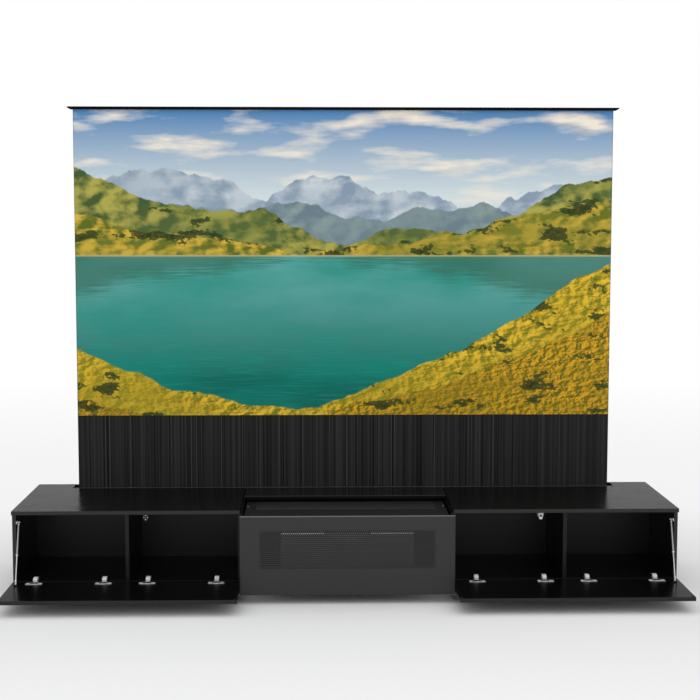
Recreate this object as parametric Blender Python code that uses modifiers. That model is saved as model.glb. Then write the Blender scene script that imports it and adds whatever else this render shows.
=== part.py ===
"""Motorized projector cabinet, modelled in use.

A low cabinet with two drop-down flaps, a powered drawer that carries a short-throw projector and a
screen that rises from a slot along the back on two pairs of folding arms. The flaps are open, the
drawer is out and the screen is up. Metres, +Z up, +Y towards the back, +X to the right.

Depths are measured from the closed fronts and heights from the floor.
"""

import math

import bmesh
import bpy
from mathutils import Vector

OBJECT_NAME = "motorized_projector_cabinet"

# Carcass
WIDTH = 2.580
DEPTH = 0.570
HEIGHT = 0.340
BOARD = 0.015
DIVIDER_BOARD = 0.018
WELL_BOARD = 0.009
BAY_WIDTH = 0.810
EDGE_ROUND = 0.001
BASE_HEIGHT = 0.047
BASE_BREADTH = 0.030
BASE_END_INSET = 0.120
BASE_EDGE_INSET = 0.030
GLASS_BREADTH = 0.190
GLASS_EDGE_GAP = 0.003

# Clearances
SEAT_GAP = 0.0003
REVEAL = 0.002
FRONT_GAP = 0.0025
SLIDE_GAP = 0.006
WELL_GAP = 0.0112
JOIN_DEPTH = 0.002

# Openings for cables and the mains inlet
CABLE_PORT = (0.090, 0.045)
CABLE_PORT_BOTTOM = 0.087
BAY_PORT_X = -0.200
REAR_PORT_X = -0.300
INLET_SIZE = (0.048, 0.028)
INLET_X = 0.450
INLET_BOTTOM = 0.097
INLET_DEPTH = 0.034
INLET_WALL = 0.004
INLET_SOCKET_DEPTH = 0.018

# Flaps and their hinges
HINGE_SETBACK = 0.002
HINGE_RISE = 0.002
HINGE_INSET_OUTER = 0.072
HINGE_INSET_INNER = 0.081
HINGE_ARM_WIDTH = 0.016
HINGE_ARM_LENGTH = 0.071
HINGE_ARM_HEIGHT = 0.0137
HINGE_TAIL_HEIGHT = 0.006
HINGE_NOSE_CHAMFER = 0.006
HINGE_ARM_CREST = 0.028
CUP_RADIUS = 0.0175
CUP_FROM_EDGE = 0.0205
CUP_CLEARANCE = 0.0005
FLAP_OPEN_ANGLE = math.radians(90)

# Flap stays
STAY_TUBE_RADIUS = 0.003
STAY_ROD_RADIUS = 0.002
STAY_TUBE_LENGTH = 0.128
STAY_ROD_LENGTH = 0.150
STAY_EYE_RADIUS = 0.004
STAY_PIN_RADIUS = 0.003
STAY_EYE_OFFSET = 0.016
STAY_BRACKET_PLATE = 0.0025
STAY_BRACKET_SIZE = (0.024, 0.009)
STAY_BOSS = 0.002
STAY_TOP_DEPTH = 0.030
STAY_TOP_DROP = 0.048
STAY_LUG_REACH = 0.052
STAY_LUG_STANDOFF = 0.008
STAY_LUG_HALF = 0.008

# Push latches
LATCH_FROM_PARTITION = {"left": 0.065, "right": 0.087}
LATCH_SIZE = (0.023, 0.052, 0.028)
LATCH_SETBACK = 0.0013
PLUNGER_RADIUS = 0.0045
PLUNGER_LENGTH = 0.036
PLUNGER_BORE_DEPTH = 0.044
PLUNGER_FLAP_GAP = 0.0005

# Drawer
DRAWER_TRAVEL = 0.110
FRONT_OVERLAP = 0.004
FRONT_TOP_GAP = 0.0035
FRONT_FLOOR_GAP = 0.035
WINDOW_SIZE = (0.666, 0.146)
WINDOW_BOTTOM = 0.138
GRILLE_THICKNESS = 0.0025
GRILLE_RECESS = 0.002
TRAY_BOARD = 0.009
TRAY_BOTTOM = 0.126
TRAY_SIDE_GAP = 0.020
COVER_THICKNESS = 0.012
COVER_SINK = 0.026
COVER_SIDE_GAP = 0.007
RAIL_BOTTOM = 0.142
RAIL_HEIGHT = 0.045
RAIL_WALL = 0.003
RAIL_MOUTH = 0.004
RUNNER_WALL = 0.002

# Rack drive
PINION_DEPTH = 0.160
MODULE = 0.0015
PINION_TEETH = 20
RACK_SPARE_TEETH = 7
RACK_WIDTH = 0.012
RACK_BACK = 0.008
TOOTH_SHARE = 0.42
ADDENDUM = 0.8
DEDENDUM = 1.25
PRESSURE_ANGLE = math.radians(20)
SHAFT_RADIUS = 0.004
MOTOR_RADIUS = 0.018
MOTOR_LENGTH = 0.075
MOTOR_PLATE = 0.003
MOTOR_PLATE_HALF = 0.021

# Control box
CONTROL_SIZE = (0.150, 0.120, 0.045)
CONTROL_X = -0.170
CONTROL_FROM_WELL = 0.040

# Projector
PROJECTOR_SIZE = (0.510, 0.340, 0.135)
PROJECTOR_SETBACK = 0.017
PROJECTOR_WALL = 0.006
PROJECTOR_ROOF = 0.043
PROJECTOR_ROUND = 0.006
DISH_WIDTH = 0.174
DISH_DEPTH = 0.034

# Screen
SCREEN_WIDTH = 2.214
SHEET_BORDER = 0.003
SHEET_THICKNESS = 0.001
SHEET_FROM_SLOT = 0.012
SLOT_DEPTH = 0.073
SLOT_END_GAP = 0.004
BAR_OVERHANG = 0.0205
BAR_PLATE = 0.005
BAR_BATTEN = (0.016, 0.007)
BAR_END_CUT = (0.012, 0.0065)
BAR_FRONT_GAP = 0.002
BAR_REAR_GAP = 0.007
ROLLER_RADIUS = 0.026
ROLLER_WALL = 0.0025
ROLLER_OVERHANG = 0.008
ROLLER_HEIGHT = 0.142
ROLLER_BRACKET = 0.008
ROLLER_BRACKET_GAP = 0.0035
ROLLER_BRACKET_HALF = 0.030
ROLLER_STUB = 0.014
ROLLER_MOTOR_LENGTH = 0.500
ROLLER_MOTOR_RADIUS = 0.019

# Folding arms of the screen lift
ARM_LENGTH = 0.930
ARM_WIDTH = 0.040
ARM_THICKNESS = 0.019
ARM_LAYER_GAP = 0.003
ARM_FROM_SHEET = 0.0085
ARM_RAISED_ANGLE = math.radians(66.06)
PIVOT_HALF_SPREAD = 0.160
LOWER_PIVOT_HEIGHT = 0.172
UPPER_PIVOT_DROP = 0.044
PIN_RADIUS = 0.006
PIN_TAIL = 0.002
LUG_WIDTH = 0.036
LUG_BELOW_PIVOT = 0.015
LIFT_BRACKET_WIDTH = 0.060

# Levels and planes that several pieces share
SIDES = {"left": -1, "right": 1}
CARCASS_FRONT = BOARD + FRONT_GAP
REAR_INNER = DEPTH - BOARD
TOP_UNDERSIDE = HEIGHT - BOARD
INNER_FLOOR = BASE_HEIGHT + BOARD
INNER_HALF_WIDTH = WIDTH / 2 - BOARD
SLOT_FRONT = REAR_INNER - SLOT_DEPTH
SHEET_FRONT = SLOT_FRONT + SHEET_FROM_SLOT - SHEET_THICKNESS / 2
ROLLER_Y = SHEET_FRONT - SEAT_GAP - ROLLER_RADIUS
WELL_FRONT = ROLLER_Y - ROLLER_RADIUS - WELL_GAP - WELL_BOARD
DIVIDER_OUTER = BAY_WIDTH / 2 + DIVIDER_BOARD
PARTITION_INNER = (DIVIDER_OUTER + INNER_HALF_WIDTH - BOARD) / 2
PARTITION_OUTER = PARTITION_INNER + BOARD
FRONT_HALF_WIDTH = BAY_WIDTH / 2 + FRONT_OVERLAP
FLAP_INNER = FRONT_HALF_WIDTH + REVEAL
TOP_INNER = FRONT_HALF_WIDTH + FRONT_TOP_GAP
FLAP_BOTTOM = BASE_HEIGHT
FLAP_TOP = TOP_UNDERSIDE - REVEAL
HINGE_HEIGHT = FLAP_BOTTOM + HINGE_RISE
FLAP_REACH = FLAP_TOP - HINGE_HEIGHT - HINGE_SETBACK
HINGE_NOSE = HINGE_SETBACK + HINGE_RISE + SEAT_GAP
SHEET_HALF = SCREEN_WIDTH / 2 + SHEET_BORDER
BAR_HALF = SHEET_HALF + BAR_OVERHANG
SLOT_HALF = BAR_HALF + SLOT_END_GAP
ROLLER_HALF = SHEET_HALF + ROLLER_OVERHANG
ROLLER_BORE = ROLLER_RADIUS - ROLLER_WALL
UPPER_PIVOT_HEIGHT = LOWER_PIVOT_HEIGHT + 2 * ARM_LENGTH * math.sin(ARM_RAISED_ANGLE)
BAR_TOP = UPPER_PIVOT_HEIGHT + UPPER_PIVOT_DROP
SHEET_TOP = BAR_TOP - BAR_PLATE - BAR_BATTEN[1] - SEAT_GAP
LOWER_LAYER = SHEET_FRONT + SHEET_THICKNESS + ARM_FROM_SHEET
UPPER_LAYER = LOWER_LAYER + ARM_THICKNESS + ARM_LAYER_GAP
COVER_TOP = HEIGHT - COVER_SINK
COVER_BOTTOM = COVER_TOP - COVER_THICKNESS
TRAY_FLOOR = TRAY_BOTTOM + TRAY_BOARD
TRAY_HALF = BAY_WIDTH / 2 - TRAY_SIDE_GAP
DRAWER_FRONT_END = BOARD + SEAT_GAP
DRAWER_REAR_END = WELL_FRONT - SLIDE_GAP
PINION_RADIUS = MODULE * PINION_TEETH / 2
RACK_TOP = TRAY_BOTTOM - SEAT_GAP
PINION_HEIGHT = RACK_TOP - RACK_BACK - PINION_RADIUS
TOOTH_PITCH = math.pi * MODULE
RACK_FRONT_TEETH = math.ceil(DRAWER_TRAVEL / TOOTH_PITCH) + RACK_SPARE_TEETH
RACK_TEETH = RACK_FRONT_TEETH + RACK_SPARE_TEETH
Y_FRONT = (FLAP_REACH - DEPTH) / 2

# Finishes: colour, roughness, metallic
CHARCOAL = ((0.047, 0.047, 0.049, 1.0), 0.42, 0.0)
SMOKED_GLASS = ((0.012, 0.013, 0.015, 1.0), 0.08, 0.0)
NICKEL = ((0.62, 0.61, 0.59, 1.0), 0.28, 1.0)
DARK_STEEL = ((0.05, 0.05, 0.053, 1.0), 0.45, 0.6)
ZINC = ((0.50, 0.51, 0.53, 1.0), 0.40, 1.0)
ALUMINIUM = ((0.45, 0.46, 0.47, 1.0), 0.38, 1.0)
BLACK_METAL = ((0.015, 0.015, 0.016, 1.0), 0.40, 0.3)
BLACK_PLASTIC = ((0.02, 0.02, 0.021, 1.0), 0.50, 0.0)
WHITE_PLASTIC = ((0.75, 0.75, 0.73, 1.0), 0.45, 0.0)
GREY_PLASTIC = ((0.12, 0.12, 0.125, 1.0), 0.45, 0.0)
SCREEN_FABRIC = ((0.28, 0.33, 0.36, 1.0), 0.85, 0.0)
LATCH_FINISHES = {"left": BLACK_PLASTIC, "right": WHITE_PLASTIC}

# Turns that lay a flat outline in the XZ or YZ plane, and a cylinder along X or Y
XZ_PLANE = (math.radians(90), 0.0, 0.0)
YZ_PLANE = (math.radians(90), 0.0, math.radians(90))
ALONG_X = (0.0, math.radians(90), 0.0)
ALONG_Y = (math.radians(90), 0.0, 0.0)


def new_collection(name):
    """Make a collection under the scene."""
    collection = bpy.data.collections.new(name)
    bpy.context.scene.collection.children.link(collection)
    return collection


def clear_scene():
    """Remove every object that the scene holds."""
    for old in list(bpy.data.objects):
        bpy.data.objects.remove(old, do_unlink=True)


def material(name, finish):
    """Principled material of one piece."""
    colour, roughness, metallic = finish
    made = bpy.data.materials.new(name)
    made.use_nodes = True
    shader = made.node_tree.nodes["Principled BSDF"]
    shader.inputs["Base Color"].default_value = colour
    shader.inputs["Roughness"].default_value = roughness
    shader.inputs["Metallic"].default_value = metallic
    return made


def empty(name, location, parent=None, rotation=(0.0, 0.0, 0.0)):
    """Axis or frame that pieces hang from."""
    made = bpy.data.objects.new(name, None)
    parts.objects.link(made)
    made.parent = parent
    made.location = location
    made.rotation_euler = rotation
    return made


def place(name, mesh, finish, parent, location=(0.0, 0.0, 0.0), rotation=(0.0, 0.0, 0.0)):
    """Make a named piece of a mesh."""
    made = bpy.data.objects.new(name, mesh)
    parts.objects.link(made)
    made.parent = parent
    made.location = location
    made.rotation_euler = rotation
    mesh.materials.append(material(name, finish))
    return made


def tool(target, mesh, operation, location, rotation=(0.0, 0.0, 0.0)):
    """Cut a hidden shape from a piece, or join it on."""
    name = f"{target.name}_{operation.lower()}_{len(target.modifiers)}"
    cutter = bpy.data.objects.new(name, mesh)
    cutters.objects.link(cutter)
    cutter.parent = target.parent
    cutter.location = location
    cutter.rotation_euler = rotation
    cutter.hide_render = True
    cutter.display_type = "WIRE"
    boolean = target.modifiers.new(operation.lower(), "BOOLEAN")
    boolean.operation = operation
    boolean.object = cutter
    boolean.solver = "EXACT"


def round_edges(piece, width, segments=2):
    """Soften the sharp edges of a piece."""
    bevel = piece.modifiers.new("edges", "BEVEL")
    bevel.width = width
    bevel.segments = segments
    bevel.limit_method = "ANGLE"


def box_mesh(name, size):
    """Closed box about its own centre."""
    mesh = bpy.data.meshes.new(name)
    shape = bmesh.new()
    bmesh.ops.create_cube(shape, size=1.0)
    bmesh.ops.scale(shape, vec=size, verts=shape.verts)
    shape.to_mesh(mesh)
    shape.free()
    return mesh


def cylinder_mesh(name, radius, length, sides=24):
    """Closed cylinder along Z about its own centre."""
    mesh = bpy.data.meshes.new(name)
    shape = bmesh.new()
    bmesh.ops.create_cone(
        shape, cap_ends=True, segments=sides, radius1=radius, radius2=radius, depth=length
    )
    shape.to_mesh(mesh)
    shape.free()
    mesh.shade_smooth()
    mesh.set_sharp_from_angle(angle=math.radians(40))
    return mesh


def outline_mesh(name, outlines, thickness):
    """Flat outline, with inner outlines as holes, of an even thickness about its plane."""
    curve = bpy.data.curves.new(name, "CURVE")
    curve.dimensions = "2D"
    curve.fill_mode = "BOTH"
    curve.extrude = thickness / 2
    for points in outlines:
        spline = curve.splines.new("POLY")
        spline.points.add(len(points) - 1)
        for point, (across, up) in zip(spline.points, points):
            point.co = (across, up, 0.0, 1.0)
        spline.use_cyclic_u = True
    holder = bpy.data.objects.new(name, curve)
    parts.objects.link(holder)
    seen = holder.evaluated_get(bpy.context.evaluated_depsgraph_get())
    mesh = bpy.data.meshes.new_from_object(seen)
    bpy.data.objects.remove(holder, do_unlink=True)
    bpy.data.curves.remove(curve)
    shape = bmesh.new()
    shape.from_mesh(mesh)
    bmesh.ops.remove_doubles(shape, verts=shape.verts, dist=0.00001)
    bmesh.ops.recalc_face_normals(shape, faces=shape.faces)
    shape.to_mesh(mesh)
    shape.free()
    return mesh


def turned_mesh(name, profile):
    """Profile of radius and height, from the top down, for a turned piece."""
    mesh = bpy.data.meshes.new(name)
    shape = bmesh.new()
    points = [shape.verts.new((radius, 0.0, height)) for radius, height in profile]
    for first, second in zip(points, points[1:]):
        shape.edges.new((first, second))
    shape.to_mesh(mesh)
    shape.free()
    return mesh


def turn(piece, steps=24):
    """Spin the profile of a piece about its own Z axis."""
    screw = piece.modifiers.new("turned", "SCREW")
    screw.axis = "Z"
    screw.angle = math.tau
    screw.steps = steps
    screw.render_steps = steps
    screw.use_merge_vertices = True
    screw.merge_threshold = 0.00001
    screw.use_smooth_shade = True


def rectangle(low, high):
    """Four corners of an upright rectangle."""
    return [(low[0], low[1]), (high[0], low[1]), (high[0], high[1]), (low[0], high[1])]


def ring(centre, radius, sides=24):
    """Points round a circle."""
    return [
        (
            centre[0] + radius * math.cos(math.tau * step / sides),
            centre[1] + radius * math.sin(math.tau * step / sides),
        )
        for step in range(sides)
    ]


def bar_outline(length, width, steps=12):
    """Link with round ends, from its first pivot at the origin to its second along X."""
    radius = width / 2
    points = []
    for centre, start in ((0.0, math.pi / 2), (length, -math.pi / 2)):
        for step in range(steps + 1):
            angle = start + math.pi * step / steps
            points.append((centre + radius * math.cos(angle), radius * math.sin(angle)))
    return points


def board(name, x_span, y_span, z_span, finish, parent, rounding=EDGE_ROUND):
    """Rectangular board between the given limits."""
    spans = (x_span, y_span, z_span)
    size = Vector([high - low for low, high in spans])
    middle = Vector([(high + low) / 2 for low, high in spans])
    piece = place(name, box_mesh(name, size), finish, parent, middle)
    if rounding:
        round_edges(piece, rounding)
    return piece


def outward(side, near, far):
    """X limits of a span that runs outwards from the middle on one side."""
    return (near, far) if side > 0 else (-far, -near)


def add_block(target, x_span, y_span, z_span):
    """Join a rectangular block to a piece."""
    spans = (x_span, y_span, z_span)
    size = Vector([high - low for low, high in spans])
    middle = Vector([(high + low) / 2 for low, high in spans])
    tool(target, box_mesh(target.name, size), "UNION", middle)


def add_pin(target, centre, radius, span, along=ALONG_Y):
    """Join a round pin to a piece: span is its start and end along its own axis."""
    length = span[1] - span[0]
    middle = (span[0] + span[1]) / 2
    location = (middle, *centre) if along == ALONG_X else (centre[0], middle, centre[1])
    tool(target, cylinder_mesh(target.name, radius, length), "UNION", location, along)


def carcass(frame):
    """Boards of the cabinet and the two base runners that it stands on."""
    upright = (INNER_FLOOR + SEAT_GAP, TOP_UNDERSIDE - SEAT_GAP)
    front_to_well = (CARCASS_FRONT, WELL_FRONT - SEAT_GAP)
    front_to_rear = (CARCASS_FRONT, REAR_INNER - SEAT_GAP)
    across = (SEAT_GAP - INNER_HALF_WIDTH, INNER_HALF_WIDTH - SEAT_GAP)
    board("bottom_panel", across, front_to_rear, (BASE_HEIGHT, INNER_FLOOR), CHARCOAL, frame)
    for word, side in SIDES.items():
        span = outward(side, INNER_HALF_WIDTH, WIDTH / 2)
        height = (BASE_HEIGHT, TOP_UNDERSIDE - SEAT_GAP)
        board(f"{word}_side_panel", span, front_to_rear, height, CHARCOAL, frame)
        span = outward(side, BAY_WIDTH / 2, DIVIDER_OUTER)
        board(f"{word}_divider", span, front_to_well, upright, CHARCOAL, frame)
        span = outward(side, PARTITION_INNER, PARTITION_OUTER)
        board(f"{word}_partition", span, front_to_well, upright, CHARCOAL, frame)
        top_panel(frame, word, side)
    glass_half = TOP_INNER - GLASS_EDGE_GAP
    glass_rear = SLOT_FRONT - REVEAL
    glass_span = (glass_rear - GLASS_BREADTH, glass_rear)
    top_level = (TOP_UNDERSIDE, HEIGHT)
    board("top_glass", (-glass_half, glass_half), glass_span, top_level, SMOKED_GLASS, frame)
    runner_half = WIDTH / 2 - BASE_END_INSET
    runner_height = (0.0, BASE_HEIGHT - SEAT_GAP)
    front = CARCASS_FRONT + BASE_EDGE_INSET
    rear = REAR_INNER - BASE_EDGE_INSET
    for name, start in (("front_runner", front), ("rear_runner", rear - BASE_BREADTH)):
        depth = (start, start + BASE_BREADTH)
        board(name, (-runner_half, runner_half), depth, runner_height, BLACK_PLASTIC, frame)


def top_panel(frame, word, side):
    """Top board of one side, notched at the back for the screen slot."""
    corners = [
        (TOP_INNER, 0.0),
        (WIDTH / 2, 0.0),
        (WIDTH / 2, REAR_INNER - SEAT_GAP),
        (SLOT_HALF, REAR_INNER - SEAT_GAP),
        (SLOT_HALF, SLOT_FRONT),
        (TOP_INNER, SLOT_FRONT),
    ]
    outline = [(side * across, back) for across, back in corners]
    name = f"{word}_top_panel"
    centre = (0.0, 0.0, HEIGHT - BOARD / 2)
    panel = place(name, outline_mesh(name, [outline], BOARD), CHARCOAL, frame, centre)
    round_edges(panel, EDGE_ROUND)


def back_boards(frame):
    """Board that closes the compartments, rear cover behind the screen well, and mains inlet."""
    low = INNER_FLOOR + SEAT_GAP
    half = INNER_HALF_WIDTH - SEAT_GAP
    port_top = CABLE_PORT_BOTTOM + CABLE_PORT[1]
    outline = rectangle((-half, low), (half, TOP_UNDERSIDE - SEAT_GAP))
    bay_port = rectangle(
        (BAY_PORT_X - CABLE_PORT[0] / 2, CABLE_PORT_BOTTOM), (BAY_PORT_X + CABLE_PORT[0] / 2, port_top)
    )
    mesh = outline_mesh("well_board", [outline, bay_port], WELL_BOARD)
    place("well_board", mesh, CHARCOAL, frame, (0.0, WELL_FRONT + WELL_BOARD / 2, 0.0), XZ_PLANE)

    outline = rectangle((-WIDTH / 2, BASE_HEIGHT), (WIDTH / 2, HEIGHT))
    rear_port = rectangle(
        (REAR_PORT_X - CABLE_PORT[0] / 2, CABLE_PORT_BOTTOM), (REAR_PORT_X + CABLE_PORT[0] / 2, port_top)
    )
    inlet_low = (INLET_X - INLET_SIZE[0] / 2, INLET_BOTTOM)
    inlet_high = (INLET_X + INLET_SIZE[0] / 2, INLET_BOTTOM + INLET_SIZE[1])
    inlet_hole = rectangle(
        (inlet_low[0] - SEAT_GAP, inlet_low[1] - SEAT_GAP),
        (inlet_high[0] + SEAT_GAP, inlet_high[1] + SEAT_GAP),
    )
    mesh = outline_mesh("rear_cover", [outline, rear_port, inlet_hole], BOARD)
    cover = place("rear_cover", mesh, CHARCOAL, frame, (0.0, DEPTH - BOARD / 2, 0.0), XZ_PLANE)
    round_edges(cover, EDGE_ROUND)

    back = DEPTH - SEAT_GAP
    inlet = board(
        "power_inlet",
        (inlet_low[0], inlet_high[0]),
        (back - INLET_DEPTH, back),
        (inlet_low[1], inlet_high[1]),
        BLACK_PLASTIC,
        frame,
        rounding=0.0,
    )
    socket = (INLET_SIZE[0] - 2 * INLET_WALL, 2 * INLET_SOCKET_DEPTH, INLET_SIZE[1] - 2 * INLET_WALL)
    middle = (INLET_X, back, INLET_BOTTOM + INLET_SIZE[1] / 2)
    tool(inlet, box_mesh("inlet_socket", socket), "DIFFERENCE", middle)


def hinge_places(side):
    """X of the four hinges of one flap, two in each compartment, from the outside in."""
    places = (
        INNER_HALF_WIDTH - HINGE_INSET_OUTER,
        PARTITION_OUTER + HINGE_INSET_INNER,
        PARTITION_INNER - HINGE_INSET_OUTER,
        DIVIDER_OUTER + HINGE_INSET_INNER,
    )
    return [side * across for across in places]


def hinge_arms(frame, word, side):
    """Arms screwed to the bottom panel, whose noses swing in the cups of the flap."""
    low = INNER_FLOOR + SEAT_GAP
    tail = HINGE_NOSE + HINGE_ARM_LENGTH
    profile = [
        (HINGE_NOSE, low),
        (tail, low),
        (tail, low + HINGE_TAIL_HEIGHT),
        (HINGE_NOSE + HINGE_ARM_CREST, low + HINGE_ARM_HEIGHT),
        (HINGE_NOSE + HINGE_NOSE_CHAMFER, low + HINGE_ARM_HEIGHT),
        (HINGE_NOSE, low + HINGE_ARM_HEIGHT - HINGE_NOSE_CHAMFER),
    ]
    for number, across in enumerate(hinge_places(side), start=1):
        name = f"{word}_hinge_arm_{number}"
        mesh = outline_mesh(name, [profile], HINGE_ARM_WIDTH)
        place(name, mesh, NICKEL, frame, (across, 0.0, 0.0), YZ_PLANE)


def flap(frame, word, side):
    """Drop-down flap, drawn closed about its hinge axis and turned open."""
    axis = empty(
        f"{word}_flap_axis", (0.0, HINGE_SETBACK, HINGE_HEIGHT), frame, (FLAP_OPEN_ANGLE, 0.0, 0.0)
    )
    inner_face = BOARD - HINGE_SETBACK
    panel = board(
        f"{word}_flap",
        outward(side, FLAP_INNER, WIDTH / 2),
        (-HINGE_SETBACK, inner_face),
        (FLAP_BOTTOM - HINGE_HEIGHT, FLAP_TOP - HINGE_HEIGHT),
        CHARCOAL,
        axis,
    )
    cup_bottom = HINGE_NOSE - CUP_CLEARANCE - HINGE_SETBACK
    cup_length = 2 * (inner_face - cup_bottom)
    cup_height = FLAP_BOTTOM - HINGE_HEIGHT + CUP_FROM_EDGE
    for across in hinge_places(side):
        cup = cylinder_mesh(f"{word}_cup", CUP_RADIUS, cup_length, sides=32)
        tool(panel, cup, "DIFFERENCE", (across, inner_face, cup_height), ALONG_Y)
    lug = stay_layers(side)["lug"]
    lug_end = inner_face + STAY_LUG_STANDOFF + STAY_LUG_HALF
    lug_heights = (STAY_LUG_REACH - STAY_LUG_HALF, STAY_LUG_REACH + STAY_LUG_HALF)
    add_block(panel, lug, (inner_face - JOIN_DEPTH, lug_end), lug_heights)


def stay_layers(side):
    """X limits, from the end panel inwards, of the stay's bracket plate, boss, lug and tube."""
    plate = INNER_HALF_WIDTH - SEAT_GAP
    boss = plate - STAY_BRACKET_PLATE
    tube = boss - STAY_BOSS - SEAT_GAP
    return {
        "plate": outward(side, boss, plate),
        "boss": outward(side, boss - STAY_BOSS, boss + STAY_BRACKET_PLATE / 2),
        "lug": outward(side, tube + SEAT_GAP, boss),
        "tube": outward(side, tube - 2 * STAY_TUBE_RADIUS, tube),
    }


def stay_ends():
    """Lower and upper pivots of the open stay, as depth and height."""
    lower = Vector((HINGE_SETBACK - STAY_LUG_REACH, HINGE_HEIGHT + BOARD - HINGE_SETBACK + STAY_LUG_STANDOFF))
    upper = Vector((STAY_TOP_DEPTH, HEIGHT - STAY_TOP_DROP))
    return lower, upper


def stay(frame, word, side):
    """Damped stay of one flap: bracket on the end panel, cylinder, and rod on the flap's lug."""
    layers = stay_layers(side)
    lower, upper = stay_ends()
    reach = upper - lower
    middle = sum(layers["tube"]) / 2
    bracket = board(
        f"{word}_stay_bracket",
        layers["plate"],
        (upper[0] - STAY_BRACKET_SIZE[0] / 2, upper[0] + STAY_BRACKET_SIZE[0] / 2),
        (upper[1] - STAY_BRACKET_SIZE[1] / 2, upper[1] + STAY_BRACKET_SIZE[1] / 2),
        NICKEL,
        frame,
        rounding=0.0,
    )
    add_pin(bracket, upper, STAY_PIN_RADIUS, layers["boss"], ALONG_X)

    tilt = (math.atan2(-reach[0], reach[1]), 0.0, 0.0)
    pivot = empty(f"{word}_stay_pivot", (middle, lower[0], lower[1]), frame, tilt)
    rod_mesh = cylinder_mesh(f"{word}_stay_rod", STAY_ROD_RADIUS, STAY_ROD_LENGTH, sides=16)
    rod = place(f"{word}_stay_rod", rod_mesh, NICKEL, pivot, (0.0, 0.0, STAY_ROD_LENGTH / 2))
    eye_span = (-STAY_TUBE_RADIUS, STAY_TUBE_RADIUS)
    add_pin(rod, (0.0, 0.0), STAY_EYE_RADIUS, eye_span, ALONG_X)

    top = reach.length
    bottom = top - STAY_TUBE_LENGTH
    bore = STAY_ROD_RADIUS + SEAT_GAP
    profile = [
        (0.0, top),
        (STAY_TUBE_RADIUS, top),
        (STAY_TUBE_RADIUS, bottom),
        (bore, bottom),
        (bore, top - STAY_EYE_OFFSET),
        (0.0, top - STAY_EYE_OFFSET),
    ]
    tube = place(f"{word}_stay_cylinder", turned_mesh("tube", profile), NICKEL, pivot)
    turn(tube)
    add_pin(tube, (0.0, reach.length), STAY_EYE_RADIUS, eye_span, ALONG_X)


def latch(frame, word, side):
    """Push latch under the top board: body with a blind bore, and its plunger."""
    across = side * (PARTITION_INNER - LATCH_FROM_PARTITION[word])
    top = TOP_UNDERSIDE - SEAT_GAP
    front = CARCASS_FRONT + LATCH_SETBACK
    axis_height = top - LATCH_SIZE[2] / 2
    body = board(
        f"{word}_latch_body",
        (across - LATCH_SIZE[0] / 2, across + LATCH_SIZE[0] / 2),
        (front, front + LATCH_SIZE[1]),
        (top - LATCH_SIZE[2], top),
        LATCH_FINISHES[word],
        frame,
    )
    bore = cylinder_mesh("latch_bore", PLUNGER_RADIUS + SEAT_GAP, 2 * PLUNGER_BORE_DEPTH)
    tool(body, bore, "DIFFERENCE", (across, front, axis_height), ALONG_Y)
    tip = BOARD + PLUNGER_FLAP_GAP
    mesh = cylinder_mesh(f"{word}_latch_plunger", PLUNGER_RADIUS, PLUNGER_LENGTH)
    centre = (across, tip + PLUNGER_LENGTH / 2, axis_height)
    place(f"{word}_latch_plunger", mesh, GREY_PLASTIC, frame, centre, ALONG_Y)


def slide_profile(side, back, mouth, low, high, wall):
    """Channel section of a slide, open from its back towards its mouth."""
    inside = back + math.copysign(wall, mouth - back)
    corners = [
        (back, low),
        (mouth, low),
        (mouth, low + wall),
        (inside, low + wall),
        (inside, high - wall),
        (mouth, high - wall),
        (mouth, high),
        (back, high),
    ]
    return [(side * across, height) for across, height in corners]


def slides(frame, carriage, word, side):
    """Fixed rail on the divider and the runner of the drawer that nests in it."""
    length = DRAWER_REAR_END - CARCASS_FRONT
    middle = (DRAWER_REAR_END + CARCASS_FRONT) / 2
    rail_back = BAY_WIDTH / 2 - SEAT_GAP
    rail_top = RAIL_BOTTOM + RAIL_HEIGHT
    profile = slide_profile(side, rail_back, TRAY_HALF + RAIL_MOUTH, RAIL_BOTTOM, rail_top, RAIL_WALL)
    mesh = outline_mesh(f"{word}_slide_rail", [profile], length)
    place(f"{word}_slide_rail", mesh, ZINC, frame, (0.0, middle, 0.0), XZ_PLANE)
    inset = RAIL_WALL + SEAT_GAP
    profile = slide_profile(
        side,
        TRAY_HALF + SEAT_GAP,
        rail_back - inset,
        RAIL_BOTTOM + inset,
        rail_top - inset,
        RUNNER_WALL,
    )
    mesh = outline_mesh(f"{word}_slide_runner", [profile], length)
    place(f"{word}_slide_runner", mesh, ZINC, carriage, (0.0, middle, 0.0), XZ_PLANE)


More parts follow.
